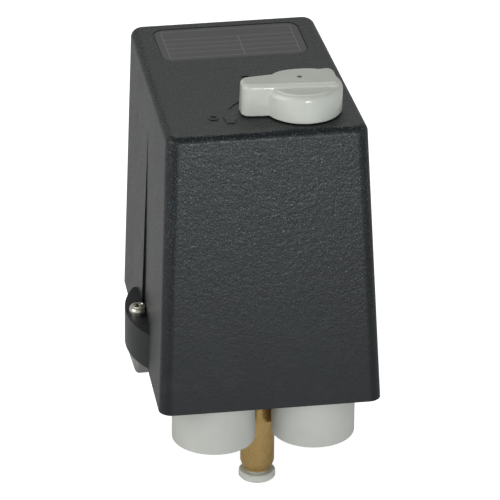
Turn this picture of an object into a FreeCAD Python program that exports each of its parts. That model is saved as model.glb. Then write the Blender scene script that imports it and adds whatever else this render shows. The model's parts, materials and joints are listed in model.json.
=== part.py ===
import FreeCAD, Part
import math
import os
import re
import Sketcher

# Compressor pressure switch, millimetres.  +Z is up, -Y is the front, and the
# origin is the centre of the pressure port's mouth, on the port's own axis.

DIMENSIONS = [
    # cover
    ("cover_bottom", 14.0, "lower edge of the cover"),
    ("cover_height", 100.2, "cover, bottom edge to top face"),
    ("cover_front", 53.0, "port axis to the front edge, at the bottom"),
    ("cover_back", 57.0, "port axis to the rear wall"),
    ("front_lean", 13.0, "how far the front wall leans back over its height"),
    ("front_half_low", 39.5, "half width at the front, bottom edge"),
    ("rear_half_low", 35.3, "half width at the rear, bottom edge"),
    ("front_half_high", 35.4, "half width at the front, top face"),
    ("rear_half_high", 33.1, "half width at the rear, top face"),
    ("wall", 2.0, "moulded wall"),
    ("corner_radius", 4.6, "upright corners"),
    ("inner_radius", 2.6, "upright corners, inside"),
    ("brow_radius", 3.1, "edge round the top face"),
    ("step_back", 4.4, "where the screwdriver channel ends, behind the port axis"),
    ("channel_front", 21.0, "where the screwdriver channel starts, before the port axis"),
    ("channel_depth", 1.25, "depth of the screwdriver channel at the bottom edge"),
    ("channel_top", 102.0, "height where the screwdriver channel runs out"),
    ("lug_radius", 35.9, "plan radius of the side lug"),
    ("lug_centre", 7.3, "plan centre of the side lug, from the middle"),
    ("lug_half", 19.4, "half length of the side lug"),
    ("lug_bottom", 15.0, "underside of the side lug"),
    ("lug_top", 28.4, "ledge of the side lug"),
    ("lug_ledge", 3.0, "thickness of the ledge"),
    ("lug_wall", 1.5, "rim of the side lug"),
    ("lug_gap", 0.4, "lug rim to the flange arm and the base ear inside it"),
    ("head_room", 3.9, "recess in the side wall round a cover screw's head"),
    ("plate_half", 26.2, "rating plate, half width"),
    ("plate_front", 24.0, "rating plate, front edge"),
    ("plate_back", 51.0, "rating plate, rear edge"),
    ("plate_depth", 0.4, "recess of the rating plate"),
    ("plate_corner", 4.5, "corners of the rating plate's recess"),
    ("mark_height", 0.3, "raised marks on the cover"),
    # knob and its shaft
    ("knob_x", 15.2, "knob axis"),
    ("knob_y", -22.0, "knob axis"),
    ("knob_gap", 0.4, "knob to cover"),
    ("knob_radius", 13.8, "round part of the knob"),
    ("knob_disc_height", 10.2, "round part of the knob"),
    ("knob_bar_height", 11.4, "pointer bar of the knob"),
    ("knob_bar_offset", 0.4, "middle of the pointer bar, behind the knob's axis"),
    ("knob_tip_half", 4.4, "half width of the pointer bar at the pointer's end"),
    ("knob_tail_half", 6.9, "half width of the pointer bar at its blunt end"),
    ("knob_reach", 22.6, "knob axis to the pointer's end"),
    ("knob_tail", 12.2, "knob axis to the blunt end of the bar"),
    ("shaft_radius", 4.0, "knob shaft"),
    ("running_gap", 0.05, "radial clearance of a running fit"),
    ("peg_throw", 5.0, "eccentric peg, from the knob's axis"),
    ("peg_radius", 1.25, "eccentric peg"),
    # pressure side
    ("port_radius", 9.3, "half-inch pipe thread, minor radius"),
    ("port_depth", 14.0, "threaded length"),
    ("boss_radius", 15.0, "pressure boss"),
    ("flange_bottom", 8.6, "underside of the flange"),
    ("flange_top", 22.0, "diaphragm seat"),
    ("flange_radius", 18.3, "round part of the flange"),
    ("arm_reach", 41.4, "flange arms, from the middle"),
    ("arm_half", 9.0, "flange arms, half width"),
    ("arm_step", 14.5, "above this level the arms fit inside the lug rim"),
    ("cover_screw_x", 38.6, "cover screws"),
    ("flange_screw_x", 17.0, "flange screws"),
    ("flange_screw_y", 12.0, "flange screws"),
    ("screw_radius", 2.0, "M4 screws"),
    ("diaphragm_radius", 14.8, "diaphragm"),
    ("diaphragm_rim", 1.2, "thickness of the diaphragm's rim"),
    ("plunger_radius", 9.8, "plunger plate"),
    ("plunger_bottom", 24.7, "plunger plate rests on the diaphragm's crown"),
    # base moulding
    ("base_bottom", 15.0, "front floor"),
    ("base_floor", 3.0, "floor thickness"),
    ("base_front", 49.2, "front edge of the base"),
    ("base_back", 53.5, "rear edge of the base"),
    ("base_top", 25.2, "rear floor, upper face"),
    ("base_half", 34.6, "half width at the front"),
    ("base_half_back", 31.2, "half width at the rear"),
    ("step_front", 20.4, "wall between the two floors"),
    # steel frame and rocker
    ("cheek_inner", 11.0, "inner face of the frame's cheeks"),
    ("sheet_steel", 1.6, "frame sheet"),
    ("frame_top", 92.0, "upper face of the frame's bridge"),
    ("pivot_y", 16.0, "rocker pivot"),
    ("pivot_z", 33.5, "rocker pivot"),
    ("pin_radius", 2.0, "rocker pin"),
    ("rocker_bottom", 32.0, "rocker plate, lower face"),
    ("rocker_top", 35.0, "rocker plate, upper face"),
    ("rocker_tip", 30.2, "rocker's front end"),
    ("main_coil", 6.6, "main spring, mean radius"),
    ("main_wire", 0.9, "main spring, wire radius"),
    ("main_nut", 66.0, "main spring nut, lower face"),
    ("second_y", -14.0, "differential spring axis"),
    ("second_coil", 3.0, "differential spring, mean radius"),
    ("second_wire", 0.45, "differential spring, wire radius"),
    ("second_nut", 61.5, "differential spring nut, lower face"),
    # switch block
    ("block_half", 25.0, "contact block"),
    ("block_front", 43.0, "contact block"),
    ("block_rear", 18.4, "contact block"),
    ("block_bottom", 38.0, "contact block"),
    ("shelf", 42.0, "shelf of the fixed contacts"),
    ("block_top", 56.0, "contact block"),
    ("pole_pitch", 14.0, "between poles"),
    ("carrier_y", -29.3, "moving contact carrier"),
    ("carrier_half", 2.2, "half thickness of the carrier"),
    ("bridge_z", 46.8, "moving contact bridges, lower face"),
    # cable glands
    ("gland_x", 17.75, "gland axes"),
    ("gland_y", -36.5, "gland axes"),
    ("gland_radius", 14.7, "gland nut"),
    ("gland_mouth", -3.9, "lower end of the gland nut"),
    ("gland_shoulder", 13.4, "gland nut's upper end"),
    ("cable_radius", 6.8, "cable entry"),
    ("thread_radius", 10.0, "gland thread"),
    # unloader valve
    ("valve_y", -25.6, "valve axis"),
    ("valve_radius", 5.95, "brass body"),
    ("valve_floor", -3.6, "floor of the valve chamber"),
    ("pad_bottom", -1.2, "sealing pad at rest"),
    ("valve_chamfer", -17.4, "where the body starts to narrow"),
    ("valve_shoulder", -21.2, "foot of the taper"),
    ("valve_collar", -23.3, "lower end of the collar"),
    ("collar_radius", 5.3, "collar"),
    ("ring_radius", 6.5, "release ring"),
    ("ring_top", -24.1, "release ring"),
    ("ring_bottom", -26.9, "release ring"),
    ("tube_radius", 3.05, "push-in bore for a 6 mm tube"),
]
ALIASES = {alias for alias, _, _ in DIMENSIONS}
SIDES = (("left", "-"), ("right", ""))

doc = FreeCAD.newDocument("pressure_switch")
sheet = doc.addObject("Spreadsheet::Sheet", "Dims")
for row, (alias, size, note) in enumerate(DIMENSIONS, 1):
    sheet.set(f"A{row}", note)
    sheet.set(f"B{row}", str(size))
    sheet.setAlias(f"B{row}", alias)
doc.recompute()

nodes = []


# ---------------------------------------------------------------- helpers

def formula(text):
    """An expression in which every alias of the sheet has the sheet's name before it."""
    def named(match):
        word = match.group()
        return "Dims." + word if word in ALIASES else word
    return re.sub(r"[a-z]\w*", named, str(text))


def bind(item, **properties):
    """Ties properties of an object to formulas."""
    for name, text in properties.items():
        item.setExpression(name, formula(text))
    return item


def shift(item, x=0, y=0, z=0):
    """Ties an object's place to formulas."""
    for axis, text in (("x", x), ("y", y), ("z", z)):
        item.setExpression("Placement.Base." + axis, formula(text))
    return item


def box(name, x, y, z):
    """A block between pairs of formulas along each axis."""
    block = doc.addObject("Part::Box", name)
    spans = [f"({high}) - ({low})" for low, high in (x, y, z)]
    bind(block, Length=spans[0], Width=spans[1], Height=spans[2])
    return shift(block, x[0], y[0], z[0])


def mirrored(sign, near, far):
    """A span along X, low end first, on the side that the sign gives."""
    return (f"-({far})", f"-({near})") if sign else (near, far)


def rod(name, radius, span, x=0, y=0, along="z"):
    """A cylinder along an axis; x and y are its place across that axis."""
    cylinder = doc.addObject("Part::Cylinder", name)
    low, high = span
    bind(cylinder, Radius=radius, Height=f"({high}) - ({low})")
    if along == "x":
        cylinder.Placement.Rotation = FreeCAD.Rotation(FreeCAD.Vector(0, 1, 0), 90)
        return shift(cylinder, low, x, y)
    return shift(cylinder, x, y, low)


def hexagon(name, half_flats, span, x=0, y=0):
    """A six-sided prism, sized across its flats."""
    prism = doc.addObject("Part::Prism", name)
    prism.Polygon = 6
    low, high = span
    bind(prism, Circumradius=f"({half_flats}) / cos(30)", Height=f"({high}) - ({low})")
    return shift(prism, x, y, low)


def fuse(name, *shapes):
    """One solid from several."""
    joined = doc.addObject("Part::MultiFuse", name)
    joined.Shapes = list(shapes)
    joined.Refine = True
    return joined


def cut(name, base, *tools):
    """A solid less one or more tools."""
    result = doc.addObject("Part::Cut", name)
    result.Base = base
    result.Tool = tools[0] if len(tools) == 1 else group(name + "_tools", *tools)
    result.Refine = True
    return result


def common(name, *shapes):
    """What two solids share."""
    result = doc.addObject("Part::Common", name)
    result.Base, result.Tool = shapes
    return result


def group(name, *shapes):
    """Like pieces kept as separate solids of one node."""
    compound = doc.addObject("Part::Compound", name)
    compound.Links = list(shapes)
    return compound


def node(item, label):
    """Marks an object as a finished sub-part."""
    item.Label = label
    nodes.append(item)
    return item


def outline(body, plane, height, corners):
    """A closed outline of straight sides on one of a body's origin planes, or on its own if it has no body."""
    if body is None:
        sketch = doc.addObject("Sketcher::SketchObject", "section")
        sketch.setExpression("Placement.Base.z", formula(height))
    else:
        sketch = body.newObject("Sketcher::SketchObject", body.Name + "_outline")
        origin = next(f for f in body.Origin.OriginFeatures if f.Role == plane)
        sketch.AttachmentSupport = [(origin, "")]
        sketch.MapMode = "FlatFace"
        sketch.setExpression("AttachmentOffset.Base.z", formula(height))
    count = len(corners)
    turns = [2 * math.pi * index / count for index in range(count)]
    start = [FreeCAD.Vector(10 * math.cos(turn), 10 * math.sin(turn), 0) for turn in turns]
    for index in range(count):
        sketch.addGeometry(Part.LineSegment(start[index], start[(index + 1) % count]), False)
    for index in range(count):
        sketch.addConstraint(Sketcher.Constraint("Coincident", index, 2, (index + 1) % count, 1))
    for index, (across, up) in enumerate(corners):
        for kind, axis, text in (("DistanceX", -2, across), ("DistanceY", -1, up)):
            if text == 0:
                sketch.addConstraint(Sketcher.Constraint("PointOnObject", index, 1, axis))
            else:
                number = sketch.addConstraint(Sketcher.Constraint(kind, -1, 1, index, 1, 1.0))
                sketch.setExpression(f"Constraints[{number}]", formula(text))
    return sketch


def turned(name, profile, x=0, y=0):
    """A turned piece on an upright axis; the profile is (radius, height) pairs."""
    body = doc.addObject("PartDesign::Body", name)
    sketch = outline(body, "XZ_Plane", 0, profile)
    turn = body.newObject("PartDesign::Revolution", name + "_turn")
    turn.Profile = sketch
    turn.ReferenceAxis = (sketch, ["V_Axis"])
    turn.Angle = 360
    return shift(body, x, y)


def coil(name, mean_radius, wire_radius, span, turns, x=0, y=0):
    """A compression spring on an upright axis; the span is over the wire's ends."""
    body = doc.addObject("PartDesign::Body", name)
    sketch = body.newObject("Sketcher::SketchObject", name + "_wire")
    origin = next(f for f in body.Origin.OriginFeatures if f.Role == "XZ_Plane")
    sketch.AttachmentSupport = [(origin, "")]
    sketch.MapMode = "FlatFace"
    low, high = span
    sketch.addGeometry(Part.Circle(FreeCAD.Vector(5, 5, 0), FreeCAD.Vector(0, 0, 1), 1), False)
    sizes = [("Radius", (0,), wire_radius), ("DistanceX", (-1, 1, 0, 3), mean_radius),
             ("DistanceY", (-1, 1, 0, 3), f"({low}) + ({wire_radius})")]
    for kind, where, text in sizes:
        number = sketch.addConstraint(Sketcher.Constraint(kind, *where, 1.0))
        sketch.setExpression(f"Constraints[{number}]", formula(text))
    helix = body.newObject("PartDesign::AdditiveHelix", name + "_helix")
    helix.Profile = sketch
    helix.ReferenceAxis = (sketch, ["V_Axis"])
    helix.Mode = "height-turns-angle"
    helix.Turns = turns
    bind(helix, Height=f"({high}) - ({low}) - 2 * ({wire_radius})")
    return shift(body, x, y)


def rounded(name, base, radius, wanted):
    """A solid with a fillet, of a radius in millimetres or a sheet alias, on the edges that a test picks."""
    doc.recompute()
    size = float(sheet.get(radius)) if radius in ALIASES else radius
    fillet = doc.addObject("Part::Fillet", name)
    fillet.Base = base
    fillet.Edges = [(number, size, size) for number, edge in enumerate(base.Shape.Edges, 1) if wanted(edge)]
    return fillet


def screw(name, x, y, seat, tip, radius="screw_radius", head=3.5, head_height=2.6, drive=0.9):
    """A cross-recess pan-head screw that points down, its head on the seat."""
    top = f"({seat}) + {head_height}"
    crown = head - 1.1
    blank = turned(name + "_blank", [(0, tip), (radius, tip), (radius, seat), (head, seat),
                                     (head, f"({seat}) + {head_height * 0.55}"), (crown, top), (0, top)], x, y)
    slots = []
    for index, (across, along) in enumerate(((drive * 2.4, drive / 2.2), (drive / 2.2, drive * 2.4))):
        slots.append(box(f"{name}_slot{index}", (f"({x}) - {across}", f"({x}) + {across}"),
                         (f"({y}) - {along}", f"({y}) + {along}"), (f"{top} - 1.3", f"{top} + 1")))
    return cut(name, blank, *slots)


# ------------------------------------------------------------------ cover

def shell_loft(name, inset, low, high):
    """The cover's tapered block, moved inwards by an inset, between two heights."""
    rise = f"(({high}) - cover_bottom) / cover_height"
    foot = f"(({low}) - cover_bottom) / cover_height"
    sections = []
    for level, share in ((low, foot), (high, rise)):
        front = f"-(cover_front - front_lean * {share} - ({inset}))"
        front_half = f"front_half_low + (front_half_high - front_half_low) * {share} - ({inset})"
        rear_half = f"rear_half_low + (rear_half_high - rear_half_low) * {share} - ({inset})"
        back = f"cover_back - ({inset})"
        corners = [(f"-({front_half})", front), (front_half, front),
                   (rear_half, back), (f"-({rear_half})", back)]
        sections.append(outline(None, "XY_Plane", level, corners))
    loft = doc.addObject("Part::Loft", name)
    loft.Sections = sections
    loft.Solid = True
    loft.Ruled = True
    return loft


def upright(edge):
    """An edge that climbs."""
    return edge.BoundBox.ZLength > 5


def at_top(edge):
    """A level edge at the top of the cover or the knob."""
    return edge.BoundBox.ZMin > float(sheet.get("cover_height")) and edge.BoundBox.ZLength < 0.5


def standing(edge):
    """An upright edge of any length."""
    return edge.BoundBox.XLength < 0.5 and edge.BoundBox.YLength < 0.5


def wall_at(y, z):
    """Half width of the cover's outer face at a place."""
    share = f"((({z}) - cover_bottom) / cover_height)"
    front = f"(front_half_low + (front_half_high - front_half_low) * {share})"
    rear = f"(rear_half_low + (rear_half_high - rear_half_low) * {share})"
    reach = f"(cover_front - front_lean * {share})"
    return f"({front} + ({rear} - {front}) * ({reach} + ({y})) / ({reach} + cover_back))"


def make_channel(side, sign):
    """The facet beside a cover screw that lets a screwdriver in; it ends at a step and runs out upwards."""
    body = doc.addObject("PartDesign::Body", "channel_" + side)
    clear, far, low = 0.05, "front_half_low + 5", "cover_bottom - 1"
    sections = []
    for place, depth in (("channel_front", -clear), ("-step_back", "channel_depth")):
        y = f"-({place})"
        foot, head = wall_at(y, "cover_bottom"), wall_at(y, "channel_top")
        corners = [(f"{sign}({foot} - ({depth}))", low), (f"{sign}({far})", low),
                   (f"{sign}({far})", "channel_top"), (f"{sign}({head} + {clear})", "channel_top")]
        sections.append(outline(body, "XZ_Plane", place, corners))
    loft = body.newObject("PartDesign::AdditiveLoft", "channel_loft_" + side)
    loft.Profile = sections[0]
    loft.Sections = [sections[1]]
    loft.Ruled = True
    return body


def lug_slice(name, sign, radius, half, level):
    """The part of a side lug's disc that stands outside the cover's wall."""
    disc = rod(name + "_disc", radius, level, f"{sign}lug_centre")
    reach = mirrored(sign, "front_half_low - 6.5", "front_half_low + 10")
    return common(name, disc, box(name + "_bounds", reach, (f"-({half})", half), level))


def make_cover():
    """The moulded cover: tapered shell, side lugs with ledges, screwdriver channels and raised marks."""
    top_face = "cover_bottom + cover_height"
    block = shell_loft("cover_block", 0, "cover_bottom", top_face)
    corners = rounded("cover_corners", block, "corner_radius", upright)
    outer = rounded("cover_brow", corners, "brow_radius", at_top)
    space = shell_loft("cover_space", "wall", "cover_bottom - 0.5", f"{top_face} - wall")
    inner = rounded("cover_space_corners", space, "inner_radius", upright)
    carved = cut("cover_carved", outer, *[make_channel(side, sign) for side, sign in SIDES])

    lugs, hollows, head_bosses, holes = [], [], [], []
    for side, sign in SIDES:
        screw_x = f"{sign}cover_screw_x"
        lugs.append(lug_slice("lug_" + side, sign, "lug_radius", "lug_half", ("lug_bottom", "lug_top")))
        hollows.append(lug_slice("hollow_" + side, sign, "lug_radius - lug_wall", "lug_half - lug_wall",
                                 ("cover_bottom - 1", "lug_top - lug_ledge")))
        boss = rod("head_boss_blank_" + side, "head_room + 1.5",
                   ("lug_top - lug_ledge", "lug_top + 5.2"), screw_x)
        head_bosses.append(common("head_boss_" + side, carved, boss))
        holes.append(rod("cover_screw_hole_" + side, "screw_radius + 0.2",
                         ("lug_top - 5", "lug_top + 1"), screw_x))
        holes.append(rod("head_room_" + side, "head_room", ("lug_top", "lug_top + 3.2"), screw_x))

    recess = box("plate_recess", ("-plate_half", "plate_half"), ("plate_front", "plate_back"),
                 (f"{top_face} - plate_depth", f"{top_face} + 1"))
    plate_room = rounded("plate_recess_corners", recess, "plate_corner", standing)
    boss = rod("shaft_boss", 7.5, (f"{top_face} - 6.5", f"{top_face} - 1"), "knob_x", "knob_y")
    through = (f"{top_face} - 8", f"{top_face} + 1")
    bore = rod("shaft_bore", "shaft_radius + running_gap", through, "knob_x", "knob_y")
    hollowed = cut("cover_hollowed", fuse("cover_with_lugs", carved, *lugs), inner, *hollows)
    fused = fuse("cover_fused", hollowed, boss, *head_bosses, *raised_marks(top_face))
    node(cut("cover_piece", fused, bore, plate_room, *holes), "cover")


def raised_marks(top_face):
    """A turning arrow, a ring for off and a bar for on, round the knob."""
    level = (f"{top_face} - 0.5", f"{top_face} + mark_height")
    arrow = doc.addObject("PartDesign::Body", "arrow")
    bend = [(-19.7, 13.7), (-24, 9.6), (-27.2, 4.1), (-28.6, -2.7), (-28.1, -8.1), (-25.4, -8.5),
            (-24.4, -5.7), (-24, 1.6), (-25.7, 2.7), (-23.6, 6), (-20.5, 9)]
    pad = arrow.newObject("PartDesign::Pad", "arrow_pad")
    pad.Profile = outline(arrow, "XY_Plane", level[0], [(f"knob_x + {x}", f"knob_y + {y}") for x, y in bend])
    bind(pad, Length="mark_height + 0.5")
    off_outer = rod("off_outer", 1.9, level, "knob_x - 32", "knob_y - 3.2")
    off_inner = rod("off_inner", 1.2, level, "knob_x - 32", "knob_y - 3.2")
    on_bar = box("on_bar", ("knob_x - 16.4", "knob_x - 14"), ("knob_y + 29", "knob_y + 30"), level)
    return [arrow, cut("off_ring", off_outer, off_inner), on_bar]


# ------------------------------------------------------------------- knob

def crest(edge):
    """A level edge near the knob's top."""
    return edge.BoundBox.ZMin > float(sheet.get("cover_height")) + 20 and edge.BoundBox.ZLength < 0.5


def make_knob():
    """A round knob with a pointer bar across it, and the parts on its shaft."""
    seat = "cover_bottom + cover_height + knob_gap"
    disc = doc.addObject("PartDesign::Body", "knob_disc")
    profile = [(0, seat), ("knob_radius", seat), ("knob_radius - 0.4", f"{seat} + knob_disc_height"),
               (0, f"{seat} + knob_disc_height")]
    sketch = outline(disc, "XZ_Plane", 0, profile)
    turn = disc.newObject("PartDesign::Revolution", "knob_turn")
    turn.Profile = sketch
    turn.ReferenceAxis = (sketch, ["V_Axis"])
    turn.Angle = 360
    shift(disc, "knob_x", "knob_y")
    bar = doc.addObject("PartDesign::Body", "knob_bar")
    middle = "knob_bar_offset"
    corners = [("-knob_reach", f"{middle} - knob_tip_half"), ("knob_tail", f"{middle} - knob_tail_half"),
               ("knob_tail", f"{middle} + knob_tail_half"), ("-knob_reach", f"{middle} + knob_tip_half")]
    pad = bar.newObject("PartDesign::Pad", "knob_bar_pad")
    pad.Profile = outline(bar, "XY_Plane", seat, corners)
    bind(pad, Length="knob_bar_height")
    bar.Placement.Rotation = FreeCAD.Rotation(FreeCAD.Vector(0, 0, 1), 2)
    shift(bar, "knob_x", "knob_y")
    round_disc = rounded("knob_shoulder", disc, 2.6, crest)
    round_bar = rounded("knob_bar_crest", rounded("knob_bar_corners", bar, 1.8, upright), 1.5, crest)
    socket = rod("knob_socket", "shaft_radius", (f"{seat} - 1", f"{seat} + 7"), "knob_x", "knob_y")
    node(cut("knob_piece", fuse("knob_solid", round_disc, round_bar), socket), "knob")

    groove, seal_level, clip_level = "shaft_radius - 1", f"{seat} - 4.5", f"{seat} - 8.2"
    profile = [(0, "frame_top + 3"), (6.4, "frame_top + 3"), (6.4, "frame_top + 5"),
               ("shaft_radius", "frame_top + 5")]
    for low, high in ((clip_level, f"{clip_level} + 0.9"), (f"{seal_level} - 0.7", f"{seal_level} + 0.7")):
        profile += [("shaft_radius", low), (groove, low), (groove, high), ("shaft_radius", high)]
    profile += [("shaft_radius", f"{seat} + 7"), (0, f"{seat} + 7")]
    shaft = turned("shaft_stem", profile, "knob_x", "knob_y")
    peg = rod("shaft_peg", "peg_radius", ("frame_top - 2", "frame_top + 4"), "knob_x + peg_throw", "knob_y")
    node(fuse("knob_shaft_piece", shaft, peg), "knob_shaft")
    ring = doc.addObject("Part::Torus", "shaft_seal_ring")
    bind(ring, Radius1="shaft_radius - 0.45", Radius2=0.49)
    node(shift(ring, "knob_x", "knob_y", seal_level), "shaft_seal")
    clip_span = (clip_level, f"{clip_level} + 0.9")
    thin = (f"{clip_level} + 0.05", f"{clip_level} + 0.85")
    washer = rod("clip_outer", "shaft_radius + 2.4", thin, "knob_x", "knob_y")
    eye = rod("clip_bore", groove, clip_span, "knob_x", "knob_y")
    gap = box("clip_gap", ("knob_x - 2.2", "knob_x + 2.2"), ("knob_y", "knob_y + 9"), clip_span)
    node(cut("clip_ring", washer, eye, gap), "retaining_clip")


# ---------------------------------------------------------- pressure side

def arm_end(edge):
    """The outer edges of the flange bar: its upright corners and the lower edge of each end."""
    box = edge.BoundBox
    return box.ZLength > 5 or (box.YLength > 5 and box.ZMax < float(sheet.get("arm_step")) - 1)


def make_pressure_side():
    """The die-cast flange with its port, the diaphragm and the plunger."""
    plate = rod("flange_disc", "flange_radius", ("flange_bottom", "flange_top"))
    boss = hexagon("flange_boss", "boss_radius", (0, "flange_bottom + 1"))
    bar = box("flange_bar", ("-arm_reach", "arm_reach"), ("-arm_half", "arm_half"),
              ("flange_bottom", "arm_step"))
    arms = [rounded("flange_arms", bar, 1.6, arm_end)]
    for side, sign in SIDES:
        level = ("arm_step - 1", "flange_top")
        disc = rod("arm_disc_" + side, "lug_radius - lug_wall - lug_gap", level, f"{sign}lug_centre")
        bounds = box("arm_bounds_" + side, mirrored(sign, 10, "arm_reach"), ("-arm_half", "arm_half"), level)
        arms.append(common("arm_" + side, disc, bounds))
    signs = ("-", "")
    screws = [(column + "flange_screw_x", row + "flange_screw_y") for column in signs for row in signs]
    lugs = [rod(f"flange_lug{index}", 4.2, ("flange_bottom", "flange_top"), x, y)
            for index, (x, y) in enumerate(screws)]
    casting = fuse("flange_casting", plate, boss, *arms, *lugs)
    tools = [rod("port_bore", "port_radius", (-1, "port_depth")), rod("port_passage", 3, (5, "flange_top + 1")),
             rod("pressure_chamber", "diaphragm_radius - 3", ("flange_top - 2.6", "flange_top + 1"))]
    tools += [rod(f"flange_thread{index}", "screw_radius", ("flange_bottom + 1.4", "flange_top + 1"), x, y)
              for index, (x, y) in enumerate(screws)]
    thread = ("flange_bottom + 1.4", "flange_top + 1")
    tools += [rod("cover_thread_" + side, "screw_radius", thread, f"{sign}cover_screw_x") for side, sign in SIDES]
    node(cut("flange_piece", casting, *tools), "pressure_flange")

    rim, crown = "flange_top + diaphragm_rim", "plunger_bottom"
    node(turned("diaphragm_disc", [(0, "flange_top + 0.9"), (7, "flange_top + 0.9"), (11.5, "flange_top"),
                                   ("diaphragm_radius", "flange_top"), ("diaphragm_radius", rim), (11.3, rim),
                                   (9, crown), (0, crown)]), "diaphragm")
    node(turned("plunger_turned", [(0, "plunger_bottom"), ("plunger_radius", "plunger_bottom"),
                                   ("plunger_radius", "plunger_bottom + 2"), (4, "plunger_bottom + 2.8"),
                                   (3, "plunger_bottom + 4"), (3, "rocker_bottom - 0.35"),
                                   (0.3, "rocker_bottom"), (0, "rocker_bottom")]),
         "diaphragm_plunger")
    flange_screws = [screw(f"flange_screw{index}", x, y, "base_top + sheet_steel", "flange_bottom + 2", head=3.4)
                     for index, (x, y) in enumerate(screws)]
    node(group("flange_screw_set", *flange_screws), "flange_screws")
    cover_screws = [screw("cover_screw_" + side, f"{sign}cover_screw_x", 0, "lug_top", "flange_bottom + 2")
                    for side, sign in SIDES]
    node(group("cover_screw_set", *cover_screws), "cover_screws")


# ------------------------------------------------------------------- base

def make_base():
    """The two-level base moulding that closes the cover from below."""
    floor = box("front_floor", ("-base_half", "base_half"), ("-base_front", "-step_front + 1.6"),
                ("base_bottom", "base_bottom + base_floor"))
    step = box("floor_step", ("-base_half", "base_half"), ("-step_front", "-step_front + 1.6"),
               ("base_bottom", "base_top"))
    rear = doc.addObject("PartDesign::Body", "rear_floor")
    pad = rear.newObject("PartDesign::Pad", "rear_floor_pad")
    corners = [("-base_half", "-step_front"), ("base_half", "-step_front"),
               ("base_half_back", "base_back"), ("-base_half_back", "base_back")]
    pad.Profile = outline(rear, "XY_Plane", "flange_top", corners)
    bind(pad, Length="base_top - flange_top")
    full = ("base_bottom", "base_top")
    walls = [box("front_rim", ("-base_half", "base_half"), ("-base_front", "-base_front + 1.2"), full),
             box("rear_skirt", ("-base_half_back", "base_half_back"), ("base_back - 2", "base_back"), full)]
    ears = []
    for side, sign in SIDES:
        walls.append(box("side_rim_" + side, mirrored(sign, "base_half - 1.8", "base_half"),
                         ("-base_front", "-step_front"), full))
        radius = "lug_radius - lug_wall - lug_gap"
        disc = rod("ear_disc_" + side, radius, ("flange_top", "base_top"), f"{sign}lug_centre")
        reach = mirrored(sign, "base_half - 4", "arm_reach + 3")
        bounds = box("ear_bounds_" + side, reach, ("-arm_half - 3", "arm_half + 3"), ("flange_top", "base_top"))
        ears.append(common("base_ear_" + side, disc, bounds))
    moulding = fuse("base_moulding", floor, step, rear, *walls, *ears)
    tools = [rod("plunger_hole", "plunger_radius + 1.6", ("flange_top - 1", "base_top + 1")),
             rod("diaphragm_seat", "diaphragm_radius", ("flange_top - 1", "flange_top + diaphragm_rim")),
             rod("valve_hole", 3.7, ("base_bottom - 1", "base_bottom + base_floor + 1"), 0, "valve_y")]
    low, high = ("base_bottom - 1", "base_bottom + base_floor + 1"), ("flange_top - 1", "base_top + 1")
    for side, sign in SIDES:
        tools.append(rod("gland_hole_" + side, "thread_radius + 0.2", low, f"{sign}gland_x", "gland_y"))
        tools.append(rod("ear_hole_" + side, "screw_radius + 0.2", high, f"{sign}cover_screw_x"))
        for end, row in (("front", "-"), ("rear", "")):
            tools.append(rod(f"floor_hole_{side}_{end}", "screw_radius + 0.2", high,
                             f"{sign}flange_screw_x", f"{row}flange_screw_y"))
    node(cut("base_piece", moulding, *tools), "base")


# ------------------------------------------------- frame, rocker, springs

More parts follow.
